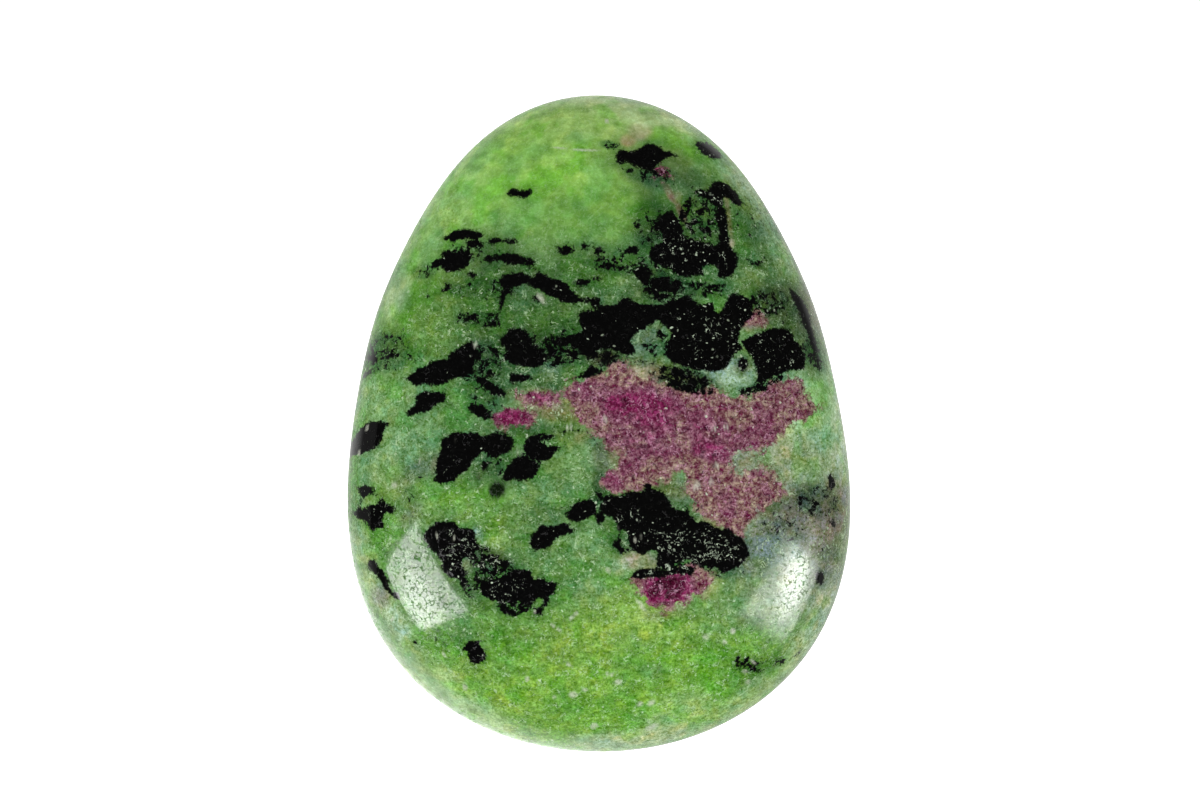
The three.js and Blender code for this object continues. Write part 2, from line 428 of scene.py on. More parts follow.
# Ruby: one large patch with two lobes on its left, and a small one under the heart mass.
RUBY = {
    "large ruby": [
        (567, 384), (574, 381), (580, 379), (589, 378), (598, 377), (603, 374), (607, 371), (611, 366),
        (616, 362), (623, 362), (632, 368), (640, 373), (651, 377), (660, 381), (669, 388), (675, 388),
        (682, 390), (690, 391), (697, 390), (703, 388), (709, 389), (720, 392), (732, 396), (746, 396),
        (755, 392), (762, 388), (771, 382), (780, 379), (791, 378), (801, 379), (805, 386), (805, 394),
        (812, 398), (819, 404), (815, 411), (809, 415), (800, 421), (791, 426), (784, 434), (775, 441),
        (768, 447), (760, 452), (747, 453), (734, 455), (732, 461), (731, 467), (737, 472), (748, 470),
        (759, 466), (768, 471), (776, 478), (785, 486), (789, 493), (779, 499), (769, 505), (760, 513),
        (752, 521), (746, 530), (741, 536), (728, 530), (716, 524), (705, 517), (697, 509), (690, 500),
        (686, 490), (688, 483), (690, 477), (686, 471), (676, 475), (666, 479), (657, 482), (648, 486),
        (640, 490), (628, 492), (616, 494), (608, 491), (603, 486), (604, 478), (609, 471), (614, 463),
        (617, 456), (615, 450), (608, 445), (599, 441), (590, 436), (586, 430), (582, 424), (575, 413),
        (568, 404), (563, 395)],
    "upper left lobe": [
        (514, 397), (518, 392), (527, 390), (536, 388), (545, 390), (553, 393), (562, 397), (564, 405),
        (556, 407), (547, 404), (538, 405), (529, 407), (522, 405), (516, 402)],
    "lower left lobe": [
        (494, 416), (498, 410), (507, 407), (516, 408), (526, 410), (534, 413), (534, 420), (527, 426),
        (516, 428), (506, 428), (499, 425), (495, 421)],
    "small ruby": [
        (631, 578), (636, 575), (645, 576), (652, 573), (658, 571), (668, 571), (679, 567), (688, 564),
        (697, 567), (704, 570), (708, 573), (711, 579), (708, 586), (703, 590), (700, 596), (693, 597),
        (686, 601), (680, 606), (676, 610), (669, 614), (662, 609), (652, 604), (648, 598), (641, 593),
        (635, 587)],
    "bead by the crown patch": [
        (648, 171), (654, 167), (663, 167), (671, 171), (669, 178), (660, 178), (652, 177)],
    "trace in the right mass": [
        (738, 326), (743, 319), (750, 315), (757, 314), (764, 316), (768, 320), (762, 325), (753, 327),
        (745, 328)],
}

# How strongly coloured the ruby is: a middle, a half width and half height and a turn in degrees,
# all in photo pixels, then its strength.
RUBY_CORES = {
    "magenta heart": (642, 408, 40, 20, 10, 0.82),
    "right of the heart": (712, 432, 34, 20, 30, 0.46),
    "lower heart": (712, 452, 20, 12, 10, 0.62),
    "under the heart": (640, 440, 40, 24, 0, 0.36),
    "lower west end": (618, 470, 18, 20, 0, 0.42),
    "right arm": (776, 398, 26, 13, -20, 0.26),
    "right elbow": (758, 432, 26, 14, -30, 0.3),
    "lower arm": (728, 508, 14, 14, 10, 0.12),
    "right lower arm": (768, 487, 22, 14, 20, 0.1),
    "left of the heart": (592, 392, 20, 14, 0, 0.38),
    "upper left lobe": (542, 397, 22, 7, 5, 0.5),
    "lower left lobe": (513, 418, 18, 9, 5, 1.15),
    "small ruby": (669, 588, 25, 15, -12, 1.2),
    "bead": (660, 173, 12, 6, 0, 1.5),
}

# Where hornblende is only peppered through the rock: the same measures, then how much of it is black.
PEPPERED = {
    "around the second bar": (508, 266, 50, 9, 8, 0.28),
    "under the blob": (470, 291, 34, 9, 5, 0.34),
    "left of the west mass": (568, 328, 26, 10, -10, 0.32),
    "beside the long lens": (488, 362, 12, 13, 0, 0.42),
    "round the twin lens": (552, 350, 40, 18, 5, 0.5),
    "right of the long lens": (488, 362, 16, 24, 0, 0.5),
    "round the slanting smudge": (484, 396, 18, 26, -30, 0.4),
    "round the upper bars": (476, 252, 34, 14, 10, 0.36),
    "left of the third bar": (490, 288, 34, 10, 5, 0.42),
    "round the wisp": (478, 318, 26, 7, 0, 0.5),
    "under the blob's left": (424, 272, 14, 8, 0, 0.4),
    "over the row": (600, 250, 44, 8, 8, 0.34),
    "under the row": (612, 264, 40, 10, 12, 0.45),
    "right of the small lens": (548, 385, 18, 7, 10, 0.3),
    "over the east mass": (697, 290, 40, 10, 0, 0.42),
    "under the dark corner": (640, 262, 45, 12, 10, 0.4),
    "inside the dark corner": (700, 216, 24, 26, 30, 0.54),
    "west of the dark corner": (650, 226, 18, 28, 0, 0.42),
    "under the dark corner's west end": (664, 288, 22, 14, 0, 0.72),
    "under the crown patch": (650, 174, 30, 13, 10, 0.42),
    "right of the vein": (694, 182, 18, 14, 30, 0.27),
    "wisp left of the crown patch": (610, 145, 12, 5, 10, 0.42),
    "right of the dark corner": (748, 222, 18, 26, -25, 0.3),
    "top right rim": (768, 302, 22, 16, 0, 0.48),
    "brown seam over the ruby": (684, 380, 36, 13, 15, 0.62),
    "brown seam on the left": (604, 358, 18, 8, 0, 0.6),
    "between the masses": (656, 342, 20, 18, 0, 0.42),
    "band in the lower left mass": (490, 563, 26, 11, 15, 0.66),
    "west of the foot": (473, 588, 8, 9, 0, 0.4),
    "foot's lower edge": (512, 606, 20, 8, 0, 0.55),
    "foot's upper edge": (490, 580, 20, 8, 0, 0.45),
    "left of the big lens": (418, 470, 18, 12, -40, 0.26),
    "between the lenses": (492, 464, 12, 12, 0, 0.4),
    "right peppered patch": (816, 502, 26, 20, 10, 0.4),
    "blue grey seam": (783, 531, 24, 12, 10, 0.4),
    "lower edge of the heart mass": (700, 569, 50, 9, 5, 0.42),
    "dark corner on the right": (747, 664, 16, 9, 0, 0.5),
    "crumbs on the right": (766, 665, 14, 8, 0, 0.3),
    "under the ruby": (690, 510, 14, 12, 40, 0.35),
    "left rim": (386, 352, 34, 22, -10, 0.42),
    "left shoulder": (408, 506, 16, 20, 0, 0.24),
    "west of the round lens": (556, 512, 12, 10, 0, 0.2),
    "under the small ruby": (665, 618, 26, 7, 0, 0.12),
    "under the lobes": (525, 430, 45, 8, 0, 0.3),
    "on the right rim": (826, 545, 12, 22, 8, 0.2),
    "inside the rim stroke": (793, 322, 12, 30, -22, 0.25),
    "under the rim stroke": (812, 352, 10, 18, -12, 0.45),
    "north of the seam": (790, 512, 34, 16, 10, 0.3),
    "gap in the lower left mass": (480, 578, 14, 11, 0, 0.42),
    "seam under the right lower mass": (762, 386, 28, 6, -22, 0.6),
    "seam over the west end of the ruby": (634, 361, 28, 6, 5, 0.42),
    "left of the heart mass": (600, 490, 10, 20, 0, 0.3),
}

# Pale flecks and fibres that lie on the black.
FLECKED = {
    "white crumbs in the dark corner": (690, 245, 44, 30, 10, 0.6),
    "upper dark corner": (715, 205, 30, 26, 0, 0.5),
    "lower heart mass": (690, 545, 54, 20, 12, 0.72),
    "west end of the heart mass": (625, 530, 18, 22, 0, 0.5),
    "lower left mass": (474, 558, 34, 24, 25, 0.68),
    "foot": (520, 595, 40, 22, 0, 0.24),
    "west end of the foot": (500, 592, 20, 18, 0, 0.55),
    "crumbs over the small ruby": (672, 571, 28, 8, 0, 0.85),
    "right lower mass": (772, 352, 36, 26, 0, 0.45),
    "east mass": (705, 335, 44, 36, 0, 0.4),
    "middle of the east mass": (713, 328, 11, 11, 0, 1.0),
    "top right": (745, 305, 36, 16, 0, 0.4),
    "big lens": (455, 455, 24, 24, 0, 0.12),
    "hooked patch": (376, 512, 20, 20, 0, 0.25),
}

# Where the grain is so fine and close that it takes a smoother look: the same measures again.
SMOOTH = {
    "narrow end": (560, 150, 150, 110, 0, 0.85),
    "left shoulder of the narrow end": (405, 250, 50, 80, 20, 0.6),
    "right rim": (830, 340, 26, 110, -8, 0.45),
    "rim at the lower left": (410, 700, 70, 40, 40, 0.5),
    "rim at the lower right": (790, 710, 60, 40, -40, 0.4),
    "olive dot": (497, 490, 13, 13, 0, 1.05),
}

# The colours of the zoisite, as the eye mixes them, from 0 to 255.
LEAF_GREEN = (106, 151, 84)
FRESH_GREEN = (124, 184, 58)
VIVID_GREEN = (104, 166, 52)
LIME_GREEN = (158, 216, 94)
SPRING_GREEN = (138, 182, 74)
PALE_GREEN = (134, 180, 112)
SEA_GREEN = (94, 146, 86)
MOSS_GREEN = (66, 104, 52)
BOTTLE_GREEN = (42, 72, 44)
GREY_GREEN = (126, 144, 110)
MIST = (118, 146, 126)
SLATE = (118, 134, 128)
MINT = (172, 204, 172)
CREAM = (176, 172, 132)
SAND = (150, 138, 100)
ROSE_GREY = (134, 116, 112)
OLIVE = (34, 44, 16)
BROWN = (70, 42, 38)

# Where the zoisite is another green: middle, half width and half height, turn, colour, strength
# and how soft its edge is, in photo pixels and in the order in which they are laid on. The pale
# strips on the rims are painted reflections of the white table, not a green of the stone, and the
# grey on the right shoulder is in part a painted reflection of the right softbox.
ZOISITE_AREAS = {
    "narrow end": (585, 150, 180, 84, 0, LIME_GREEN, 0.85, 0.5),
    "left flank": (400, 320, 56, 130, 20, FRESH_GREEN, 0.5, 0.5),
    "left middle": (382, 430, 50, 80, 0, PALE_GREEN, 0.8, 0.6),
    "middle left": (490, 420, 80, 70, 0, SEA_GREEN, 0.75, 0.6),
    "under the big lens": (475, 505, 60, 24, 10, FRESH_GREEN, 0.45, 0.6),
    "bay beside the ruby": (560, 480, 50, 50, 0, LEAF_GREEN, 0.7, 0.5),
    "middle of the lower half": (590, 560, 60, 60, 0, SEA_GREEN, 0.35, 0.6),
    "wide end": (590, 680, 190, 80, 0, FRESH_GREEN, 0.75, 0.5),
    "yellow glow": (610, 640, 70, 45, 0, SPRING_GREEN, 0.75, 0.6),
    "yellow lower left": (470, 690, 90, 30, 30, SPRING_GREEN, 0.6, 0.6),
    "lower left": (420, 620, 50, 60, -30, LEAF_GREEN, 0.5, 0.6),
    "left of the trunk": (390, 560, 40, 60, 0, FRESH_GREEN, 0.4, 0.6),
    "right flank": (812, 425, 50, 74, 0, (154, 198, 132), 1.0, 0.5),
    "grey green on the right": (785, 468, 45, 30, 0, (148, 160, 128), 0.85, 0.6),
    "right shoulder": (770, 590, 60, 70, 0, LEAF_GREEN, 0.6, 0.5),
    "band of dark green": (520, 300, 110, 55, 8, MOSS_GREEN, 0.62, 0.6),
    "dark green west of the masses": (530, 335, 80, 40, 5, MOSS_GREEN, 0.45, 0.6),
    "dark green under the bars": (610, 285, 60, 20, 12, MOSS_GREEN, 0.4, 0.5),
    "haze of the dark corner": (684, 228, 54, 60, 0, MOSS_GREEN, 0.66, 0.5),
    "haze of the crown patch": (656, 168, 50, 26, 20, (78, 98, 70), 0.65, 0.6),
    "haze west of the dark corner": (652, 220, 22, 30, 0, BOTTLE_GREEN, 0.6, 0.6),
    "haze under the dark corner": (664, 288, 30, 14, 0, BOTTLE_GREEN, 0.7, 0.6),
    "haze round the upper bars": (472, 250, 44, 20, 10, MOSS_GREEN, 0.5, 0.7),
    "haze right of the long lens": (488, 372, 22, 36, -20, BOTTLE_GREEN, 0.4, 0.7),
    "haze by the twin lens": (552, 345, 44, 18, 0, BOTTLE_GREEN, 0.5, 0.7),
    "right top rim": (778, 276, 34, 84, -22, MOSS_GREEN, 0.26, 0.5),
    "teal between the masses": (652, 344, 20, 17, 0, MIST, 0.8, 0.7),
    "cream over the ruby": (645, 373, 20, 11, 20, CREAM, 0.85, 0.6),
    "beige bead": (640, 131, 12, 9, 0, (240, 206, 190), 1.0, 0.4),
    "second beige bead": (628, 140, 8, 6, 0, (176, 128, 104), 0.95, 0.4),
    "vein right of the crown patch": (669, 192, 3.4, 13, -32, (150, 104, 98), 1.0, 0.5),
    "lower part of that vein": (681, 212, 3.2, 11, -25, (158, 122, 112), 1.0, 0.5),
    "beige spot by the vein": (678, 197, 4, 5, 0, CREAM, 0.8, 0.5),
    "right vein": (728, 212, 2.5, 24, -8, SAND, 0.8, 0.6),
    "bright end of the right vein": (731, 243, 3.5, 4, 0, CREAM, 0.95, 0.5),
    "sea green right of the crown patch": (664, 184, 26, 10, 20, (96, 146, 92), 0.5, 0.6),
    "sea green on the rim beside it": (736, 178, 9, 28, -41, (172, 198, 152), 0.75, 0.6),
    "mint patch": (730, 371, 25, 15, 12, MINT, 0.95, 0.45),
    "shade round the hole": (742, 364, 10, 9, 0, BOTTLE_GREEN, 0.7, 0.6),
    "pink trace": (753, 322, 14, 7, -10, ROSE_GREY, 0.9, 0.5),
    "rose on the right rim": (804, 312, 20, 34, -20, ROSE_GREY, 0.6, 0.6),
    "pale patch by the small lens": (551, 372, 8, 8, 0, MINT, 0.6, 0.6),
    "dim green by the small lens": (530, 378, 42, 18, 10, MOSS_GREEN, 0.62, 0.6),
    "beige between the lobes": (560, 408, 42, 14, 12, (130, 116, 82), 0.8, 0.5),
    "green bay under the ruby": (672, 488, 22, 12, 20, (112, 112, 84), 0.75, 0.6),
    # A pale strip on the rim: painted reflection of the white table.
    "painted reflection on the upper left rim": (397, 296, 10, 22, 20, (184, 212, 150), 0.85, 0.6),
    "grey wedge left of the big lens": (420, 469, 22, 9, -38, GREY_GREEN, 0.65, 0.6),
    "rust on the big lens": (434, 465, 3, 9, 10, SAND, 0.5, 0.6),
    "rose left of the big lens": (395, 488, 20, 24, 0, SAND, 0.3, 0.7),
    "brown haze on the left shoulder": (408, 505, 14, 22, 0, GREY_GREEN, 0.5, 0.7),
    "olive round the pair": (492, 470, 32, 20, 0, MOSS_GREEN, 0.65, 0.6),
    "olive dot": (497, 490, 8.5, 8.5, 0, (10, 24, 4), 1.0, 0.14),
    "olive speck": (479, 477, 2.5, 2.5, 0, OLIVE, 0.9, 0.4),
    "brown band in the lower left mass": (494, 561, 26, 11, 15, (58, 58, 34), 0.8, 0.5),
    "cream in the lower left mass": (468, 566, 5, 7, 20, CREAM, 0.9, 0.5),
    "mist in the lower left mass": (489, 571, 10, 4, 0, MIST, 0.5, 0.5),
    "gap in the lower left mass": (476, 582, 14, 14, 0, MOSS_GREEN, 0.85, 0.6),
    "green round the trunk": (482, 612, 40, 18, 0, MOSS_GREEN, 0.35, 0.7),
    "yellow bloom": (494, 532, 14, 14, 0, SPRING_GREEN, 0.7, 0.7),
    "pale tooth by the trunk": (478, 534, 4, 7, -20, MINT, 0.95, 0.5),
    "cream under the heart mass": (641, 562, 18, 9, 5, (178, 166, 140), 0.95, 0.5),
    "mint west of the cream": (622, 568, 8, 8, 0, MINT, 0.5, 0.6),
    "dark green west of the heart mass": (612, 530, 12, 26, 0, MOSS_GREEN, 0.45, 0.6),
    "dark seam by the comma lens": (552, 513, 20, 9, -15, MOSS_GREEN, 0.4, 0.7),
    "mint in the foot": (586, 592, 20, 14, 0, MINT, 0.25, 0.7),
    "mist right of the heart mass": (758, 543, 17, 19, 0, SLATE, 0.95, 0.4),
    "blue grey seam": (783, 532, 26, 11, 8, SLATE, 0.8, 0.6),
    "beige right of the seam": (808, 534, 26, 20, 10, (162, 158, 148), 0.9, 0.6),
    "rose over the seam": (778, 510, 40, 18, 10, ROSE_GREY, 0.85, 0.6),
    "rose on the right edge": (835, 510, 16, 34, 5, ROSE_GREY, 0.85, 0.5),
    "rose beside the torn patch": (828, 560, 16, 36, 8, ROSE_GREY, 0.7, 0.6),
    "peppered patch": (812, 505, 24, 18, 0, ROSE_GREY, 0.6, 0.6),
    "dark green by the peppered patch": (806, 497, 14, 12, 0, BOTTLE_GREEN, 0.6, 0.6),
    "green arm under the large ruby": (742, 462, 22, 10, 0, (132, 128, 108), 0.8, 0.6),
    "dark corner on the right": (752, 669, 32, 18, 0, MOSS_GREEN, 0.9, 0.6),
    "green over it": (762, 640, 32, 24, 0, MOSS_GREEN, 0.62, 0.7),
    "cream below the small ruby": (708, 584, 13, 13, 0, CREAM, 0.75, 0.6),
    "brown under the east mass": (682, 379, 34, 11, 15, BROWN, 0.75, 0.6),
    "brown under the west mass": (604, 358, 18, 8, 0, BROWN, 0.8, 0.5),
    "deep green right of the wide end": (745, 655, 60, 26, -35, VIVID_GREEN, 0.8, 0.6),
    "deep green on the left edge": (430, 640, 30, 22, 40, VIVID_GREEN, 0.75, 0.6),
    "deep green under the small ruby": (650, 665, 40, 20, 0, VIVID_GREEN, 0.75, 0.6),
    "deep green left of the middle": (480, 615, 40, 22, 0, VIVID_GREEN, 0.5, 0.7),
    "green shade by the softbox": (424, 575, 24, 45, -28, (66, 110, 42), 0.75, 0.5),
    "shade under the lobes": (525, 430, 45, 8, 0, MOSS_GREEN, 0.6, 0.6),
    "shade left of the heart mass": (600, 490, 10, 22, 0, BOTTLE_GREEN, 0.7, 0.6),
    "shade in the heart mass's window": (625, 540, 10, 14, 0, BOTTLE_GREEN, 0.6, 0.6),
    "pale green on the upper left flank": (442, 210, 44, 70, 35, (160, 212, 116), 0.7, 0.6),
    # Pale green round the tip: painted reflection of the table in the rim there.
    "painted reflection round the tip": (600, 116, 110, 26, 0, (176, 218, 124), 0.7, 0.6),
    "leaf green over the row": (596, 212, 54, 24, 0, (100, 158, 66), 0.6, 0.6),
    "moss on the left rim": (386, 352, 30, 18, -10, MOSS_GREEN, 0.45, 0.6),
    "moss beside the lower left mass": (468, 600, 30, 15, 10, MOSS_GREEN, 0.5, 0.6),
    "fresh green over the glow": (628, 622, 44, 34, 0, SPRING_GREEN, 0.4, 0.7),
    "sand by the pair's tail": (572, 436, 20, 8, 0, SAND, 0.4, 0.6),
    "grey under the mist": (762, 562, 28, 14, 0, (122, 134, 126), 0.85, 0.6),
    "deep green left of the comma lens": (512, 518, 34, 20, 0, MOSS_GREEN, 0.4, 0.6),
    "deep green under the foot": (522, 616, 40, 12, 0, VIVID_GREEN, 0.6, 0.7),
    "brown round the pink trace": (775, 304, 26, 22, 0, BROWN, 0.5, 0.6),
    "darker green at the wide end": (580, 705, 34, 12, 5, VIVID_GREEN, 0.7, 0.6),
    "darker green right of it": (625, 705, 24, 12, 0, VIVID_GREEN, 0.6, 0.6),
    "deep green near the chip": (651, 669, 12, 8, 0, SEA_GREEN, 0.6, 0.6),
    # Pale strips on the rims: painted reflections of the white table.
    "painted reflection on the left rim": (398, 622, 9, 44, -32, (184, 212, 160), 0.85, 0.6),
    "painted reflection on the right rim": (818, 612, 9, 40, 24, (184, 204, 166), 0.85, 0.6),
    "dark green inside the rim stroke": (796, 326, 14, 40, -18, MOSS_GREEN, 0.6, 0.6),
    "dark green under the rim stroke": (813, 354, 12, 20, -12, MOSS_GREEN, 0.7, 0.6),
    "sand west of the ruby": (606, 454, 13, 16, 0, (116, 110, 84), 0.85, 0.6),
    # Pale bands on the rims: painted reflections of the white table.
    "painted reflection on the lower left rim": (449, 686, 64, 13, 37, (188, 220, 146), 0.6, 0.6),
    "painted reflection on the lower right rim": (806, 640, 10, 34, 40, (178, 210, 146), 0.75, 0.6),
    "deeper green round the foot": (516, 600, 70, 46, 0, (84, 132, 60), 0.6, 0.7),
    "beige under the small ruby": (668, 612, 26, 8, -8, (150, 150, 110), 0.6, 0.6),
    # Pale rim at the tip and at the top right: painted reflections of the white table.
    "painted reflection on the edge of the tip": (645, 112, 92, 13, 14, (206, 236, 168), 0.7, 0.6),
    "painted reflection on the top right rim": (774, 240, 9, 44, -28, (156, 190, 138), 0.6, 0.6),
    "lighter green at the wide end's right": (678, 712, 36, 16, -15, (172, 208, 134), 0.6, 0.6),
    "deep green below the left softbox": (444, 626, 40, 16, 20, (84, 136, 58), 0.5, 0.6),
    "deep green on the lower left edge": (420, 656, 18, 11, 40, (96, 148, 68), 0.5, 0.6),
    # Grey and pale strips on the rims: painted reflections of the white table.
    "painted grey reflection below the torn patch": (381, 596, 9, 11, -20, (150, 144, 138), 0.8, 0.6),
    "painted reflection on the rim at the wide end": (650, 737, 80, 9, -5, (192, 208, 170), 0.55, 0.6),
    "painted reflection on the rim at the lower right": (752, 694, 52, 9, -38, (178, 214, 140), 0.5, 0.6),
    "painted reflection above the left shoulder": (364, 554, 9, 32, -20, (176, 204, 146), 0.7, 0.6),
    "painted reflection on the right flank": (839, 446, 9, 36, 2, (196, 212, 178), 0.7, 0.6),
    # Greyer green on the right shoulder: partly the stone's own colour, partly painted greyness of the
    # right softbox's reflection.
    "grey green and painted reflection on the right shoulder": (790, 560, 50, 60, 0, (132, 146, 120), 0.5, 0.7),
    "light green over the lower right": (770, 460, 34, 24, 0, (158, 178, 138), 0.4, 0.7),
    "olive over the small ruby's tip": (712, 520, 16, 10, 25, SAND, 0.5, 0.6),
}

# White pits and scratches of the polish, painted glints, and the marks that stand out by themselves.
PALE_MARKS_AND_GLINTS = {
    "glint in the ruby": (605, 419, 2.4, 2.2, 0),
    "glint on the long lens": (475, 345, 2.6, 2.0, -30),
    "scratch near the narrow end": (585, 150, 14, 1.0, 2),
    "scratch left of it": (560, 148, 7, 0.9, 5),
    "glint at the tip": (607, 121, 2, 2, 0),
    "streak under the third bar": (541, 298, 6, 2.2, 50),
    "scratch under the small ruby": (641, 605, 7.5, 1.8, 52),
    "pit at the wide end": (594, 726, 4, 2.6, -30),
    "long pit at the wide end": (652, 727, 7.5, 2.2, -22),
    "ring pit": (651, 703, 4.2, 2.4, -35),
    "small pit beside it": (640, 704, 2.8, 2.2, -50),
    "mark in the wide end": (568.7, 664.8, 3.4, 1.5, 40),
    "rosy speck": (527, 679, 1.8, 2.6, 0),
    "sandy speck": (573, 694.5, 4, 3, 0),
    "second sandy speck": (618, 682, 3.5, 2.6, 0),
    "scratch over the glow": (577.5, 613.5, 3.6, 1.2, -30),
    "second scratch over the glow": (571, 618, 2.6, 1.2, -30),
    "tick": (553.5, 625.5, 2.4, 1.2, 40),
    "second tick": (559, 629.5, 2.2, 1.1, 30),
    "mark over the pits": (612, 675, 2.4, 1.2, -50),
    "second mark over the pits": (608, 674, 1.4, 2.4, -10),
    "white mark": (585, 689.8, 3, 1.6, 0),
    "left white mark": (553.8, 696.9, 2, 1.6, 0),
    "speck on the right": (706, 637, 3.4, 1.8, 30),
    "second speck on the right": (725, 642, 2.4, 2.2, 0),
    "third speck on the right": (733, 631, 2.4, 2.4, 0),
    "speck at the lower right": (748, 682, 2.6, 1.6, -35),
    "glint at the lower left": (444, 654.5, 2.4, 1.2, 10),
    "glints under the square chip": (465, 687, 2, 3.4, -25),
    "glint on the left edge": (392, 619, 1.4, 1.6, 0),
    "glint by the big lens": (420, 461, 1.4, 2.2, 30),
    "glint on the big lens": (454, 441, 1.2, 1.2, 0),
    "spot left of the big lens": (394, 485, 3, 2.6, 30),
    "fibre by the pair": (519, 453, 2.4, 1.2, -30),
    "glint on the left rim": (359, 453, 1.3, 2, 0),
    "second glint on the left rim": (367, 428, 1.3, 2.2, 10),
    "pearl in the ruby": (697, 486, 4.4, 3.2, -30),
    "second pearl": (711, 482, 2.4, 2.2, -50),
    "white spot over the arm": (717, 466, 2.2, 2.6, 0),
    "white spot in the heart": (726, 427, 2.8, 2, 0),
    "glint under it": (714, 428, 2.4, 1.6, -20),
    "white bead on the black": (705, 637, 1, 1, 0),
    "crumb on the dark corner": (753, 662, 3.2, 1.4, 40),
    "second crumb on the dark corner": (745, 671, 1.8, 2.2, 20),
    "glint in the bay": (654, 452, 1.2, 1.2, 0),
    "fibre over the bay": (568, 428, 5, 1, -15),
    "white spot in the foot": (535, 612, 1.4, 1.2, 0),
    "curl on the trunk": (454, 538, 0.9, 2.2, 20),
    "second curl on the trunk": (437, 535, 0.8, 2.2, -15),
    "pale crumb in the heart mass": (641, 535, 0.8, 2.4, 20),
    "second pale crumb": (636, 540, 2.2, 0.7, 10),
    "third pale crumb": (618.5, 526, 0.7, 2.2, 0),
    "chip edge": (608, 570, 3, 1.6, 20),
}

# Each stretch of an outline is drawn as a few short edges, and distances are measured up to a limit.
EDGE_SAMPLES = 4
FARTHEST_PX = 22.0
SHORTEST_PX = 1e-9
PX_MM = 0.0611
MARK_SOFTNESS = 0.35
OVAL_SOFTNESS = 0.45
HIDDEN_MM = 2.5


def drawn_round(corners):
    """A smooth closed line through the corners of an outline."""
    here = np.array(corners, float)
    before = np.roll(here, 1, axis=0)
    after = np.roll(here, -1, axis=0)
    beyond = np.roll(here, -2, axis=0)
    line = []
    for share in np.arange(EDGE_SAMPLES) / EDGE_SAMPLES:
        bend_once = (after - before) * share
        bend_twice = (2 * before - 5 * here + 4 * after - beyond) * share**2
        bend_thrice = (3 * here - before - 3 * after + beyond) * share**3
        line.append((2 * here + bend_once + bend_twice + bend_thrice) / 2)
    return np.stack(line, axis=1).reshape(-1, 2)


def outside(places, corners):
    """How far each place lies outside an outline, in photo pixels. Inside it is negative."""
    line = drawn_round(corners)
    beside = (places > line.min(axis=0) - FARTHEST_PX) & (places < line.max(axis=0) + FARTHEST_PX)
    near = np.all(beside, axis=1)
    distance = np.full(len(places), FARTHEST_PX)
    close = places[near]
    nearest = np.full(len(close), FARTHEST_PX**2)
    within = np.zeros(len(close), bool)
    for start, end in zip(line, np.roll(line, -1, axis=0)):
        edge = end - start
        offset = close - start
        share = np.clip(offset @ edge / max(edge @ edge, SHORTEST_PX), 0, 1)
        nearest = np.minimum(nearest, ((offset - share[:, None] * edge) ** 2).sum(axis=1))
        straddles = (start[1] > close[:, 1]) != (end[1] > close[:, 1])
        rise = edge[1] if abs(edge[1]) > SHORTEST_PX else SHORTEST_PX
        within ^= straddles & (offset[:, 0] < offset[:, 1] / rise * edge[0])
    distance[near] = np.sqrt(nearest) * np.where(within, -1, 1)
    return distance


def to_nearest(places, outlines):
    """The distance to the nearest of several outlines, in millimetres."""
    return np.min([outside(places, corners) for corners in outlines.values()], axis=0) * PX_MM


def inside_oval(places, oval, softness):
    """1 well inside an oval, 0 well outside it."""
    middle_x, middle_y, half_width, half_height, turn = oval
    angle = math.radians(turn)
    offset = places - (middle_x, middle_y)
    along = (offset[:, 0] * math.cos(angle) + offset[:, 1] * math.sin(angle)) / half_width
    across = (offset[:, 1] * math.cos(angle) - offset[:, 0] * math.sin(angle)) / half_height
    share = np.clip((1 + softness - np.hypot(along, across)) / (2 * softness), 0, 1)
    return share * share * (3 - 2 * share)


def deepest(places, ovals):
    """The strongest of several ovals at each place."""
    strengths = [inside_oval(places, oval, OVAL_SOFTNESS) * most for *oval, most in ovals.values()]
    return np.max(strengths, axis=0)


def as_light(colour):
    """A colour from 0 to 255 as amounts of light, by the curve of the sRGB standard."""
    share = np.array(colour) / 255
    return np.where(share <= 0.04045, share / 12.92, ((share + 0.055) / 1.055) ** 2.4)


def zoisite_colour(places):
    """The green at each place, before its grain."""
    colour = np.tile(as_light(LEAF_GREEN), (len(places), 1))
    for *oval, tint, strength, softness in ZOISITE_AREAS.values():
        share = inside_oval(places, oval, softness)[:, None] * strength
        colour = colour * (1 - share) + as_light(tint) * share
    return colour


def both_sides(measure, hides=0.0):
    """Measures the upper side and the underside, and blends the two under the girdle."""
    upper = measure(seen_from_above)
    lower = measure(seen_through)
    share = upper_share if upper.ndim == 1 else upper_share[:, None]
    if hides:
        return np.minimum(upper + (1 - share) * hides, lower + share * hides)
    return upper * share + lower * (1 - share)


def remember(name, values):
    """Keeps one number, or one colour, for each point of the stone."""
    if values.ndim == 1:
        layer = pebble.data.attributes.new(name, "FLOAT", "POINT")
        layer.data.foreach_set("value", values.astype(np.float32))
    else:
        layer = pebble.data.attributes.new(name, "FLOAT_COLOR", "POINT")
        opaque = np.concatenate([values, np.ones((len(values), 1))], axis=1)
        layer.data.foreach_set("color", opaque.astype(np.float32).ravel())


def hornblende_distance(places):
    """The distance to the black, with the windows cut out of it."""
    return np.maximum(to_nearest(places, HORNBLENDE), -to_nearest(places, WINDOWS))


remember("hornblende", both_sides(hornblende_distance, HIDDEN_MM))
remember("ruby", both_sides(lambda places: to_nearest(places, RUBY), HIDDEN_MM))
soft_measures = {"ruby_core": RUBY_CORES, "pepper": PEPPERED, "flecks": FLECKED, "smooth": SMOOTH}
for name, ovals in soft_measures.items():
    remember(name, both_sides(lambda places: deepest(places, ovals)))
# The pale marks, painted glints among them, are kept for the upper side only.
polish_marks_and_glints = [inside_oval(seen_from_above, mark, MARK_SOFTNESS) for mark in PALE_MARKS_AND_GLINTS.values()]
remember("pale", np.max(polish_marks_and_glints, axis=0) * upper_share)
remember("zoisite", both_sides(zoisite_colour))


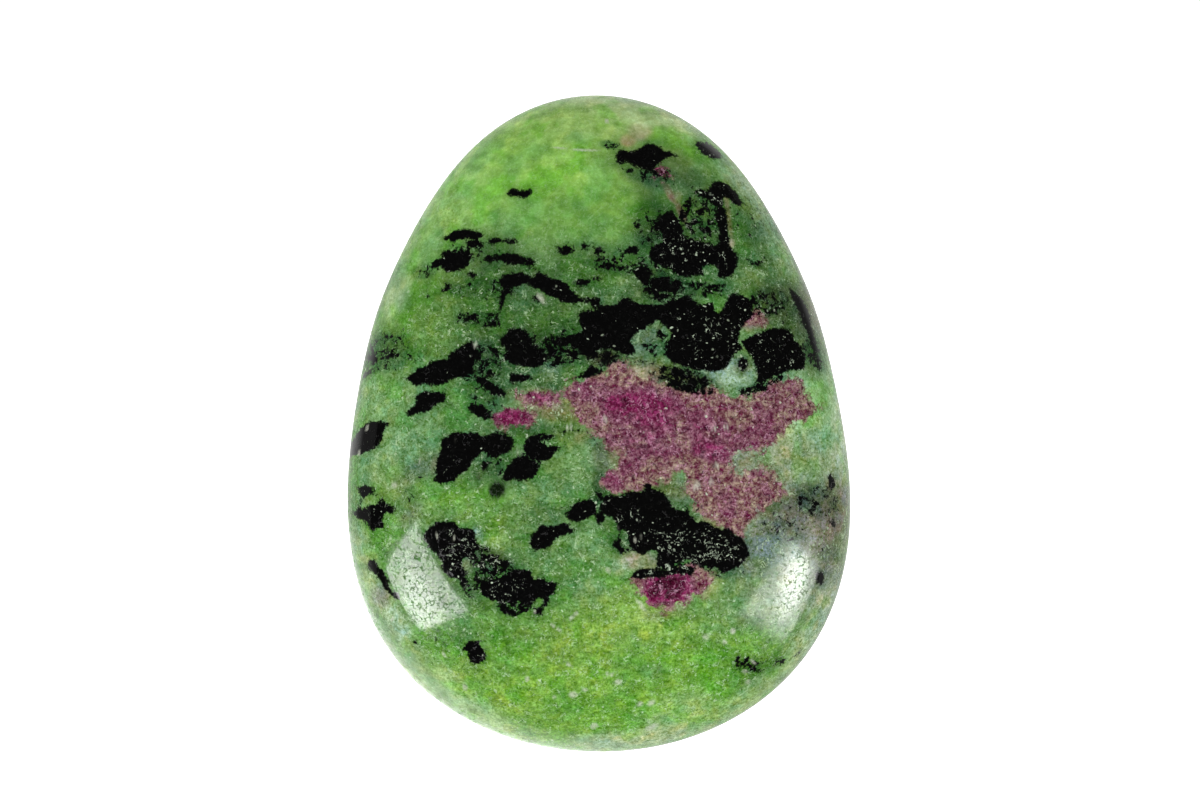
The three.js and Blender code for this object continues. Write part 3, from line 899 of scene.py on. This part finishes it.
class Wire:
    """A node's output, so that plain sums of wires add Math nodes."""

    def __init__(self, finish, socket):
        self.finish = finish
        self.socket = socket

    def maths(self, operation, first, second):
        return self.finish.node("ShaderNodeMath", {"operation": operation}, {0: first, 1: second})

    def __add__(self, other):
        return self.maths("ADD", self, other)

    def __radd__(self, other):
        return self.maths("ADD", other, self)

    def __sub__(self, other):
        return self.maths("SUBTRACT", self, other)

    def __rsub__(self, other):
        return self.maths("SUBTRACT", other, self)

    def __mul__(self, other):
        return self.maths("MULTIPLY", self, other)

    def larger(self, other):
        return self.maths("MAXIMUM", self, other)

    def swing(self, amount):
        """How far it lies from its middle value, one half, times an amount."""
        return (self - 0.5) * amount

    def ramp(self, low, high, below, above):
        sockets = {"Value": self, "From Min": low, "From Max": high, "To Min": below, "To Max": above}
        return self.finish.node("ShaderNodeMapRange", {"interpolation_type": "SMOOTHSTEP"}, sockets)

    def rising(self, low, high):
        """0 below the first value, 1 above the second, and smooth between."""
        return self.ramp(low, high, 0.0, 1.0)

    def falling(self, low, high):
        """1 below the first value, 0 above the second, and smooth between."""
        return self.ramp(low, high, 1.0, 0.0)


class Finish:
    """A material made of nodes."""

    def __init__(self, tree):
        self.tree = tree
        self.tree.nodes.clear()

    def node(self, kind, settings=None, sockets=None, output=0):
        made = self.tree.nodes.new(kind)
        for name, value in (settings or {}).items():
            setattr(made, name, value)
        for name, value in (sockets or {}).items():
            if isinstance(value, Wire):
                self.tree.links.new(value.socket, made.inputs[name])
            else:
                made.inputs[name].default_value = value
        return Wire(self, made.outputs[output]) if made.outputs else made

    def kept(self, name, output="Fac"):
        """What remember() kept for each point of the piece."""
        return self.node("ShaderNodeAttribute", {"attribute_name": name}, output=output)

    def part(self, colour, channel):
        return self.node("ShaderNodeSeparateColor", {}, {"Color": colour}, output=channel)

    def mixed(self, share, first, second):
        """Goes from the first colour to the second."""
        settings = {"data_type": "RGBA", "clamp_factor": True}
        return self.node("ShaderNodeMix", settings, {0: share, 6: first, 7: second}, output=2)

    def moved(self, place, shift):
        return self.node("ShaderNodeVectorMath", {"operation": "ADD"}, {0: place, 1: shift})

    def dyed(self, colour, dye):
        """A colour seen through another."""
        return self.node("ShaderNodeVectorMath", {"operation": "MULTIPLY"}, {0: colour, 1: dye})

    def brightened(self, colour, amount):
        return self.node("ShaderNodeVectorMath", {"operation": "SCALE"}, {0: colour, "Scale": amount})

    def glinting(self, colour, tint, amount):
        """Adds light to a colour, or takes it away. The tint says how much each primary changes."""
        return self.dyed(colour, self.moved(self.brightened(tint, amount), (1.0, 1.0, 1.0)))

    def clouds(self, place, size_mm, detail=2.0, roughness=0.5, distortion=0.0, output="Fac"):
        """Soft mottling with patches of about this size."""
        sockets = {"Vector": place, "Scale": 1 / (size_mm * MM), "Detail": detail,
                   "Roughness": roughness, "Distortion": distortion}
        return self.node("ShaderNodeTexNoise", {}, sockets, output=output)

    def grains(self, place, size_mm, output="Distance", feature="F1"):
        """Crystal grains of about this size."""
        sockets = {"Vector": place, "Scale": 1 / (size_mm * MM)}
        return self.node("ShaderNodeTexVoronoi", {"feature": feature}, sockets, output=output)

    def specks(self, place, size_mm, spread):
        """Round specks, one to a cell: a number from 0 to 1 that tells them apart, and their shape."""
        seed = self.grains(place, size_mm, output="Color")
        distance = self.grains(place, size_mm) - self.part(seed, "Blue") * spread
        return self.part(seed, "Red"), distance.falling(0.0, SPECK_RADIUS)


# The finish of the stone: its grain, its colours and its polish, all as nodes. EXPOSURE is how much
# of the light that falls on the stone the colours from 0 to 255 stand for.
EXPOSURE = 0.7
SPECK_RADIUS = 0.11
WAVER_MM = 0.3
WAVER_REACH = 0.3 * MM
CRYSTAL_MM = 0.2

# The noises in the stone: whether one follows the wavering of the fibres, how far it is shifted, so
# that no two run alike, the size of its patches in millimetres, detail, roughness and distortion.
NOISES = {
    "fine": (False, (0.0, 0.0, 0.0), 0.16, 2.0, 0.75, 0.0),
    "middle": (False, (0.0, 0.0, 0.0), 0.8, 3.0, 0.6, 0.0),
    "wide": (False, (0.31, 0.12, 0.05), 2.6, 2.0, 0.5, 0.0),
    "drift": (False, (0.0, 0.0, 0.0), 1.9, 2.0, 0.55, 0.0),
    "tinge": (False, (0.0, 0.0, 0.0), 0.75, 1.0, 0.5, 0.0),
    "curl field": (True, (0.5, 0.2, 0.6), 0.4, 1.0, 0.5, 1.0),
    "curl chance": (False, (0.15, 0.45, 0.25), 0.5, 3.0, 0.7, 0.0),
    "ruby cloud": (False, (0.0, 0.0, 0.0), 0.9, 2.0, 0.6, 0.4),
    "ruby fine": (True, (0.4, 0.1, 0.2), 0.15, 2.0, 0.75, 0.0),
    "ruby mottle": (False, (0.6, 0.3, 0.9), 0.4, 3.0, 0.65, 0.0),
    "ruby pits": (True, (0.2, 0.7, 0.1), 0.34, 4.0, 0.75, 0.0),
    "pepper": (False, (0.2, 0.3, 0.1), 0.5, 3.0, 0.65, 0.5),
    "polish pits": (True, (0.11, 0.22, 0.33), 0.3, 3.0, 0.7, 1.0),
}

# The specks: their shift, the size of a cell in millimetres and how much their sizes differ.
SPECKS = {
    "zoisite": ((0.07, 0.01, 0.03), 0.34, 0.16),
    "ruby sugar": ((0.02, 0.09, 0.05), 0.2, 0.2),
}

polished = bpy.data.materials.new("polished_ruby_in_zoisite")
polished.use_nodes = True
stone = Finish(polished.node_tree)
place = stone.node("ShaderNodeTexCoord", output="Object")
waver = stone.clouds(place, WAVER_MM, detail=1.0, output="Color")
wavering = stone.moved(place, stone.brightened(waver, WAVER_REACH))


def noise(name, output="Fac"):
    """One of the noises above."""
    wavers, shift, size_mm, detail, roughness, distortion = NOISES[name]
    shifted = stone.moved(wavering if wavers else place, shift)
    return stone.clouds(shifted, size_mm, detail, roughness, distortion, output)


def specks(name):
    """The kind and the shape of some specks."""
    shift, size_mm, spread = SPECKS[name]
    return stone.specks(stone.moved(wavering, shift), size_mm, spread)


def shade(colour, light=EXPOSURE):
    """A colour from 0 to 255 as the material takes it."""
    return (*(as_light(colour) * light), 1.0)


def shown(field, starts, full):
    """0 where a look doesn't start yet, 1 where it is full, which can be below its start."""
    return field.rising(starts, full) if starts < full else field.falling(full, starts)


def laid_on(under, field, look, mask=1.0):
    """Lays a look over what is there: where it starts and is full, how much of it shows, its colour."""
    starts, full, most, colour = look
    return stone.mixed(shown(field, starts, full) * mask * most, under, shade(colour))


def dyed_in(under, noise_colour, tints, mask=1.0):
    """Dyes parts of a colour: the noise's channel, where a dye starts and is full, its share, the dye."""
    dyed = under
    for channel, starts, full, most, dye in tints.values():
        share = shown(stone.part(noise_colour, channel), starts, full) * mask * most
        dyed = stone.mixed(share, dyed, stone.dyed(under, dye))
    return dyed


# Sugary grain. The green is a soft mass that drifts between bluer and yellower. In it lie grains of
# a fifth of a millimetre, fibres, short curls, and a scatter of white and dark specks. The white
# specks are painted glints, and the curls are pale fibres partly painted as glints.
WIDE_SWING = 0.5
MIDDLE_SWING = 1.5
MIDDLE_TINT = (1.2, 1.0, 1.5)
CRYSTAL_SWING = 0.34
FINE_SWING = 2.0
GRAIN_TINT = (1.3, 1.0, 1.8)
GRAIN_FLOOR = -0.5
CRISPEST = 1.1
DRIFTS = {
    "milkier": ("Red", 0.48, 0.64, 0.65, (1.34, 1.16, 1.16)),
    "purer": ("Green", 0.48, 0.62, 0.75, (0.62, 0.94, 0.38)),
}
TINGES = {
    "warmer": ("Red", 0.48, 0.66, 0.42, (1.3, 1.0, 0.66)),
    "cooler": ("Blue", 0.48, 0.66, 0.36, (0.76, 1.0, 1.36)),
}
BLUER = (0.74, 0.96, 1.3)
BLUER_CLOUD = (0.5, 0.36)
BLUER_CLOUD_SHARE = 0.45
BLUER_CRYSTALS = (0.3, 0.1)
BLUER_CRYSTAL_SHARE = 0.06

hornblende_gap = stone.kept("hornblende")
ruby_gap = stone.kept("ruby")
pepper = stone.kept("pepper")
flecked = stone.kept("flecks")
crisp = CRISPEST - stone.kept("smooth")
crystal = stone.grains(wavering, CRYSTAL_MM, output="Color")
crystal_value = stone.part(crystal, "Red")
crystal_hue = stone.part(crystal, "Green")
fine_cloud = noise("fine")
middle_cloud = noise("middle")
wide_cloud = noise("wide")

green = stone.brightened(stone.kept("zoisite", "Color"), EXPOSURE)
green = stone.brightened(green, 1.0 + wide_cloud.swing(WIDE_SWING))
green = stone.glinting(green, MIDDLE_TINT, middle_cloud.swing(MIDDLE_SWING))
glint = (crystal_value.swing(CRYSTAL_SWING) + fine_cloud.swing(FINE_SWING)) * crisp
green = stone.glinting(green, GRAIN_TINT, glint.larger(GRAIN_FLOOR))
bluer = stone.dyed(green, BLUER)
green = dyed_in(green, noise("drift", "Color"), DRIFTS)
bluish = shown(wide_cloud, *BLUER_CLOUD) * BLUER_CLOUD_SHARE
bluish = bluish + shown(crystal_hue, *BLUER_CRYSTALS) * BLUER_CRYSTAL_SHARE
green = stone.mixed(bluish, green, bluer)
green = dyed_in(green, noise("tinge", "Color"), TINGES, crisp)

# Pale and dark fibres, which lie all ways: how far each set is turned and shifted.
FIBRE_SETS = ((0.5, 0.13), (-0.8, 0.37))
FIBRE_TILT = (0.2, 0.1)
FIBRE_STRETCH = (0.34, 1.0, 0.7)
FIBRE_MM = 0.15
PALE_FIBRES = (0.58, 0.72, 0.3, (178, 214, 142))
DARK_FIBRES = (0.44, 0.32, 0.26, (46, 92, 30))
for turn, shift in FIBRE_SETS:
    lie = {"Vector": wavering, "Location": (shift, 0.0, 0.0), "Rotation": (*FIBRE_TILT, turn),
           "Scale": FIBRE_STRETCH}
    thread_place = stone.node("ShaderNodeMapping", {}, lie)
    threads = stone.clouds(thread_place, FIBRE_MM, detail=2.0, roughness=0.7, distortion=0.8)
    green = laid_on(green, threads, PALE_FIBRES, crisp)
    green = laid_on(green, threads, DARK_FIBRES, crisp)

# Curls are thin lines where a soft field passes its middle, broken up by a second one. They are pale
# fibres, partly painted glints.
CURL_WIDTH = (0.0014, 0.0002)
PALE_CURLS_AND_GLINTS = (0.5, 0.6, 0.6, (206, 236, 188))
curl_offset = noise("curl field").swing(1.0)
curl = shown(curl_offset * curl_offset, *CURL_WIDTH)
curl_chance = noise("curl chance")
green = laid_on(green, curl_chance, PALE_CURLS_AND_GLINTS, curl * crisp)

# Specks have a place, a size and a kind of their own. The white ones, which are painted glints, come last
# of all.
DARK_SPECKS = (0.16, 0.12)
DARK_SPECK_SHARE = 0.7
DARK_SPECK_DYE = (0.18, 0.34, 0.12)
speck_kind, speck_shape = specks("zoisite")
dark_specks = shown(speck_kind, *DARK_SPECKS) * speck_shape * crisp
green = stone.mixed(dark_specks * DARK_SPECK_SHARE, green, stone.dyed(green, DARK_SPECK_DYE))

# The green turns darker close to hornblende, and where hornblende is peppered through it.
HALO_MM = (0.8, 0.0)
HALO_SHARE = 0.8
HALO_LEAST = 0.35
HALO_DYE = (0.24, 0.38, 0.34)
PEPPER_DIM = (0.03, 0.45)
PEPPER_DIM_CLOUD = (0.3, 0.6)
PEPPER_DIM_SHARE = 0.9
halo = shown(hornblende_gap, *HALO_MM) * (HALO_LEAST + pepper) * HALO_SHARE
dim = shown(pepper, *PEPPER_DIM) * shown(middle_cloud, *PEPPER_DIM_CLOUD) * PEPPER_DIM_SHARE
green = stone.mixed(halo.larger(dim), green, stone.dyed(green, HALO_DYE))

# Ruby, from rosy beige at its edges through dull rose and magenta to deep wine, which take over
# from each other with its depth. In it lie mottling, wine-red and pale pits, curls that are partly
# painted glints, and sugary white and wine-red grains.
ROSY_BEIGE = (160, 136, 118)
RUBY_STEPS = {
    "dull rose": (-0.1, 0.35, 1.0, (144, 94, 110)),
    "magenta": (0.35, 0.8, 1.0, (154, 56, 106)),
    "deep wine": (0.8, 1.15, 1.0, (86, 22, 52)),
}
DEPTH_CLOUD_SWING = 1.7
DEPTH_MOTTLE_SWING = 0.6
DEPTH_LESS = 0.1
RUBY_MOTTLE_SWING = 2.2
RUBY_DIMMING = 0.24
RUBY_MOTTLE_TINT = (1.0, 1.6, 1.2)
RUBY_CRYSTAL_SWING = 0.6
RUBY_FINE_SWING = 3.8
RUBY_GRAIN_TINT = (1.0, 1.6, 1.25)
RUBY_GRAIN_FLOOR = -0.48
WINE_PITS = (0.45, 0.38, 0.8, (58, 12, 32))
PINK_PITS = (0.6, 0.64, 0.5, (222, 150, 186))
PINK_CURLS_AND_GLINTS = (0.5, 0.6, 0.6, (228, 172, 200))
PINK_SUGAR = (0.84, 0.9, 0.95, (232, 176, 204))
WINE_SUGAR = (0.15, 0.1, 0.7, (70, 10, 36))
RUBY_EDGE_MIDDLE = 1.8
RUBY_EDGE_FINE = 0.9
RUBY_BLEND = (0.2, -0.2)
ruby_mottle = noise("ruby mottle")
ruby_depth = stone.kept("ruby_core") + noise("ruby cloud").swing(DEPTH_CLOUD_SWING)
ruby_depth = ruby_depth + ruby_mottle.swing(DEPTH_MOTTLE_SWING) - DEPTH_LESS
ruby = shade(ROSY_BEIGE)
for step in RUBY_STEPS.values():
    ruby = laid_on(ruby, ruby_depth, step)
ruby = stone.glinting(ruby, RUBY_MOTTLE_TINT, ruby_mottle.swing(RUBY_MOTTLE_SWING) - RUBY_DIMMING)
ruby_glint = crystal_value.swing(RUBY_CRYSTAL_SWING) + noise("ruby fine").swing(RUBY_FINE_SWING)
ruby = stone.glinting(ruby, RUBY_GRAIN_TINT, ruby_glint.larger(RUBY_GRAIN_FLOOR))
ruby_pits = noise("ruby pits")
ruby = laid_on(ruby, ruby_pits, WINE_PITS)
ruby = laid_on(ruby, ruby_pits, PINK_PITS)
# Pink curls: pale fibres, partly painted glints.
ruby = laid_on(ruby, curl_chance, PINK_CURLS_AND_GLINTS, curl)
sugar_kind, sugar_shape = specks("ruby sugar")
ruby = laid_on(ruby, sugar_kind, PINK_SUGAR, sugar_shape)
ruby = laid_on(ruby, sugar_kind, WINE_SUGAR, sugar_shape)
ruby_edge = ruby_gap + middle_cloud.swing(RUBY_EDGE_MIDDLE) + fine_cloud.swing(RUBY_EDGE_FINE)
stone_colour = stone.mixed(shown(ruby_edge, *RUBY_BLEND), green, ruby)

# Hornblende, solid in its lenses and broken up where it is only peppered through the rock.
BLACK_EDGE_MIDDLE = 0.45
BLACK_EDGE_FINE = 0.4
BLACK_EDGE_CRYSTAL = 0.5
BLACK_BLEND = (0.07, -0.09)
PEPPER_LEVEL = 0.2
PEPPER_RISE = 0.6
PEPPER_FINE = 0.3
PEPPER_CRYSTAL = 0.06
PEPPER_BLEND = (-0.05, 0.05)
BLACK = (2, 2, 2)
BLACK_GLEAM = (13, 14, 13)
GLEAM_CLOUD = (0.5, 0.75)
ragged_edge = hornblende_gap + middle_cloud.swing(BLACK_EDGE_MIDDLE) + fine_cloud.swing(BLACK_EDGE_FINE)
ragged_edge = ragged_edge + crystal_value.swing(BLACK_EDGE_CRYSTAL) * pepper
pepper_grain = noise("pepper") + fine_cloud.swing(PEPPER_FINE) + crystal_hue.swing(PEPPER_CRYSTAL)
scattered_black = shown(PEPPER_LEVEL + pepper * PEPPER_RISE - pepper_grain, *PEPPER_BLEND)
black_share = shown(ragged_edge, *BLACK_BLEND).larger(scattered_black)
black = stone.mixed(shown(fine_cloud, *GLEAM_CLOUD), shade(BLACK, 1.0), shade(BLACK_GLEAM, 1.0))
stone_colour = stone.mixed(black_share, stone_colour, black)

# Pale crumbs and curls on the black. The more flecked a place is, the more of them show.
CRUMB_MM = 0.2
CRUMB_SPREAD = 0.24
CRUMB_TURN = (0.0, 0.4, 0.9)
CRUMB_STRETCH = (0.7, 1.0, 1.0)
CRUMB_LEVEL = 0.94
CRUMB_RISE = 0.4
CRUMB_BLEND = (0.0, 0.04)
BLACK_CURL_LEVEL = 0.68
BLACK_CURL_RISE = 0.24
BLACK_CURL_BLEND = (0.0, 0.06)
FLECK_WHITE = (206, 224, 196)
FLECK_LEAST = 0.25
crumb_lie = {"Vector": wavering, "Rotation": CRUMB_TURN, "Scale": CRUMB_STRETCH}
crumb_place = stone.node("ShaderNodeMapping", {}, crumb_lie)
crumb_chance, crumb_shape = stone.specks(crumb_place, CRUMB_MM, CRUMB_SPREAD)
crumbs = shown(crumb_chance + flecked * CRUMB_RISE - CRUMB_LEVEL, *CRUMB_BLEND) * crumb_shape
black_curls = shown(curl_chance + flecked * BLACK_CURL_RISE - BLACK_CURL_LEVEL, *BLACK_CURL_BLEND) * curl
fleck_share = crumbs.larger(black_curls) * black_share
fleck_share = fleck_share * (FLECK_LEAST + crystal_hue * (1.0 - FLECK_LEAST))
stone_colour = stone.mixed(fleck_share, stone_colour, shade(FLECK_WHITE))

# White specks all over, fewer on the black, which are painted glints, and the marks of the polish,
# some of which are painted glints too.
PAINTED_GLINT_SPECKS = (0.82, 0.87, 0.75, (218, 236, 204))
SPECKS_LOST_ON_BLACK = 0.6
MARK_AND_GLINT_WHITE = (222, 226, 206)
MARK_LEVEL = 0.45
MARK_FINE = 1.6
MARK_FINE_MIDDLE = 0.4
on_black = 1.0 - black_share * SPECKS_LOST_ON_BLACK
# Painted glints: white specks laid into the colour.
stone_colour = laid_on(stone_colour, speck_kind, PAINTED_GLINT_SPECKS, speck_shape * crisp * on_black)
# Pale marks of the polish and painted glints, laid into the colour.
mark_and_glint_share = stone.kept("pale") * (MARK_LEVEL + (fine_cloud - MARK_FINE_MIDDLE) * MARK_FINE)
stone_colour = stone.mixed(mark_and_glint_share, stone_colour, shade(MARK_AND_GLINT_WHITE))

# The polish is glassy, with fine crackle between the grains and shallow pits.
CRACKLE_MM = 0.3
CRACK_WIDTH = (0.12, 0.03)
CRACK_CLOUD = (0.54, 0.44)
PIT_CLOUD = (0.4, 0.33)
RELIEF_DEPTH = 0.01 * MM
RELIEF_STRENGTH = 0.2
HOLLOW_DEPTH = 0.8
GRAIN_HEIGHT = 0.3
POLISH = 0.04
CRACK_DULLNESS = 0.7
PIT_DULLNESS = 0.5
GRAIN_DULLNESS = 0.03
REFRACTION = 1.55
pit_cloud = noise("polish pits")
crackle = stone.grains(wavering, CRACKLE_MM, feature="DISTANCE_TO_EDGE")
cracks = shown(crackle, *CRACK_WIDTH) * shown(pit_cloud, *CRACK_CLOUD) * (1.0 - black_share)
pits = shown(pit_cloud, *PIT_CLOUD)
relief = 1.0 - cracks * HOLLOW_DEPTH - pits * HOLLOW_DEPTH + fine_cloud * GRAIN_HEIGHT
bumps = stone.node("ShaderNodeBump", {}, {"Strength": RELIEF_STRENGTH, "Distance": RELIEF_DEPTH,
                                          "Height": relief})
dullness = POLISH + cracks * CRACK_DULLNESS + pits * PIT_DULLNESS + fine_cloud * GRAIN_DULLNESS
glass = {"Base Color": stone_colour, "Roughness": dullness, "IOR": REFRACTION, "Normal": bumps}
surface = stone.node("ShaderNodeBsdfPrincipled", {}, glass)
stone.node("ShaderNodeOutputMaterial", {}, {"Surface": surface})
pebble.data.materials.append(polished)

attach(pebble, "root")
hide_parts("stone")

# The table: one sheet of milky acrylic, much larger than the stone. It is given a glow of its own
# close round the stone, and more strongly towards the lower left of the picture, where the polish
# mirrors it: painted light, as if a lamp under it lit it. Its colour is painted paler close round
# the stone and darker farther off, a painted pool of light. The camera sees all of the sheet as
# plain white, with hardly a shadow on it.
TABLE_WIDTH = 3.0
TABLE_CUTS = 8
TABLE_DROP = 0.02 * MM
TABLE_GLOW = 0.4
TABLE_FRONT_GLOW = 1.5
TABLE_GLARE = 0.95
TOWARDS_GLOW = (-0.54, -0.84, 0.0)
GLOW_EDGE = (0.7, 0.97)
GLOW_REACH = (0.03, 0.15)
LIT_PATCH = (0.019, 0.036)
LIT_PATCH_SHAPE = (1.0, 0.8, 1.0)
BOARD_CLOUD_MM = 3.0
BOARD_SHADED = (0.43, 0.43, 0.42, 1.0)
BOARD_WHITE = (0.45, 0.45, 0.45, 1.0)
BOARD_FAR_PAINTED_DARK = (0.1, 0.1, 0.1, 1.0)

bpy.ops.object.select_all(action="DESELECT")
bpy.ops.mesh.primitive_grid_add(x_subdivisions=TABLE_CUTS, y_subdivisions=TABLE_CUTS, size=TABLE_WIDTH,
                                location=(0, 0, -TABLE_DROP))
table = bpy.context.active_object
table.name = "table"
bpy.ops.object.transform_apply(location=True, rotation=True, scale=True)
white_board = bpy.data.materials.new("white_board")
white_board.use_nodes = True
board = Finish(white_board.node_tree)
board_place = board.node("ShaderNodeTexCoord", output="Object")
patch_place = board.dyed(board_place, LIT_PATCH_SHAPE)
reach = board.node("ShaderNodeVectorMath", {"operation": "LENGTH"}, {0: patch_place}, output="Value")
# Painted pool of light: the sheet's colour is paler close round the stone and darker farther off.
near = reach.falling(*LIT_PATCH)
board_colour = board.mixed(board.clouds(board_place, BOARD_CLOUD_MM), BOARD_SHADED, BOARD_WHITE)
board_colour = board.mixed(near, BOARD_FAR_PAINTED_DARK, board_colour)
way = board.node("ShaderNodeVectorMath", {"operation": "NORMALIZE"}, {0: board_place})
towards = board.node("ShaderNodeVectorMath", {"operation": "DOT_PRODUCT"}, {0: way, 1: TOWARDS_GLOW},
                     output="Value")
seen = board.node("ShaderNodeLightPath", output="Is Camera Ray")
# The sheet's own glow, painted light, close round the stone and towards the lower left.
front_glow = towards.rising(*GLOW_EDGE) * reach.falling(*GLOW_REACH) * TABLE_FRONT_GLOW
glow = near * TABLE_GLOW + front_glow + seen * TABLE_GLARE
white_glow = board.node("ShaderNodeCombineXYZ", {}, {"X": glow, "Y": glow, "Z": glow})
acrylic = {"Base Color": board_colour, "Roughness": 0.9, "Specular IOR Level": 0.1,
           "Emission Color": white_glow, "Emission Strength": 1.0}
board_surface = board.node("ShaderNodeBsdfPrincipled", {}, acrylic)
board.node("ShaderNodeOutputMaterial", {}, {"Surface": board_surface})
table.data.materials.append(white_board)

# Two softboxes lean over the stone from the lower left and the lower right of the picture. Their
# mirror images are the two bright windows on its shoulders. Each is a cloth with four corners, which
# are given across and up it in metres, and is brightest where its lamp stands behind it.
SOFTBOXES = {
    "left_softbox": {
        "azimuth": -151, "elevation": 31, "distance": 0.42, "width": 0.21, "length": 0.33, "power": 1.75,
        "corners": [(-0.078, -0.142), (0.073, -0.082), (0.1, 0.152), (-0.097, 0.09)],
        "edge": 0.006, "lamp_at": (0.04, 0.0), "lamp_spread": (0.01, 0.1), "lamp_power": 0.8,
    },
    "right_softbox": {
        "azimuth": -28, "elevation": 25, "distance": 0.42, "width": 0.26, "length": 0.44, "power": 2.3,
        "corners": [(-0.09, -0.14), (0.085, -0.16), (0.07, 0.1), (-0.095, 0.16)],
        "edge": 0.024, "lamp_at": (0.02, -0.01), "lamp_spread": (0.01, 0.1), "lamp_power": 1.8,
    },
}

# A reflector behind the narrow end and a wide panel overhead fill the shadows. They are too dim and
# too far off to be made out in the polish, so they are left out of its reflections.
FILLS = {
    "reflector": {
        "azimuth": 110, "elevation": 38, "distance": 0.8, "width": 0.6, "length": 0.6, "power": 3.4,
    },
    "overhead_panel": {
        "azimuth": 90, "elevation": 89, "distance": 1.2, "width": 1.0, "length": 1.0, "power": 4.6,
    },
}


def light_panel(name, setting):
    """An area light that faces the stone. The camera doesn't see it."""
    lamp = bpy.data.lights.new(name, "AREA")
    lamp.shape = "RECTANGLE"
    lamp.size = setting["width"]
    lamp.size_y = setting["length"]
    lamp.energy = setting["power"]
    stand = bpy.data.objects.new(name, lamp)
    turn = math.radians(setting["azimuth"])
    rise = math.radians(setting["elevation"])
    outwards = Vector((math.cos(rise) * math.cos(turn), math.cos(rise) * math.sin(turn), math.sin(rise)))
    stand.location = outwards * setting["distance"]
    stand.rotation_euler = outwards.to_track_quat("Z", "Y").to_euler()
    stand.visible_camera = False
    bpy.context.scene.collection.objects.link(stand)
    return stand


def cut_cloth(lamp, setting):
    """Gives a softbox its four corners, and its bright middle."""
    lamp.use_nodes = True
    cloth = Finish(lamp.node_tree)
    on_panel = cloth.node("ShaderNodeNewGeometry", output="Parametric")
    across = cloth.node("ShaderNodeSeparateXYZ", {}, {0: on_panel}, output="X").swing(setting["width"])
    up = cloth.node("ShaderNodeSeparateXYZ", {}, {0: on_panel}, output="Y").swing(setting["length"])
    lamp_across, lamp_up = setting["lamp_at"]
    beside_lamp = across - lamp_across
    above_lamp = up - lamp_up
    from_lamp = beside_lamp * beside_lamp + above_lamp * above_lamp
    near, far = setting["lamp_spread"]
    glow = 1.0 + from_lamp.falling(near**2, far**2) * setting["lamp_power"]
    corners = setting["corners"]
    for start, end in zip(corners, corners[1:] + corners[:1]):
        edge = math.dist(start, end)
        slope_across = (end[0] - start[0]) / edge
        slope_up = (end[1] - start[1]) / edge
        inwards = (up - start[1]) * slope_across - (across - start[0]) * slope_up
        glow = glow * inwards.rising(-setting["edge"], setting["edge"])
    lit = cloth.node("ShaderNodeEmission", {}, {"Strength": glow})
    cloth.node("ShaderNodeOutputLight", {}, {"Surface": lit})


for name, setting in SOFTBOXES.items():
    cut_cloth(light_panel(name, setting).data, setting)
for name, setting in FILLS.items():
    light_panel(name, setting).visible_glossy = False

# The room is dark. Seen directly it is as pale as the table.
ROOM_WHITE = (1.0, 1.0, 1.0, 1.0)
ROOM_PALE = (0.93, 0.93, 0.93, 1.0)
ROOM_LIGHT = 0.035
world = bpy.context.scene.world or bpy.data.worlds.new("room")
bpy.context.scene.world = world
world.use_nodes = True
room = Finish(world.node_tree)
seen = room.node("ShaderNodeLightPath", output="Is Camera Ray")
reflected = room.node("ShaderNodeBackground", {}, {"Color": ROOM_WHITE, "Strength": ROOM_LIGHT})
direct = room.node("ShaderNodeBackground", {}, {"Color": ROOM_PALE, "Strength": 1.0})
sky = room.node("ShaderNodeMixShader", {}, {0: seen, 1: reflected, 2: direct})
room.node("ShaderNodeOutputWorld", {}, {"Surface": sky})
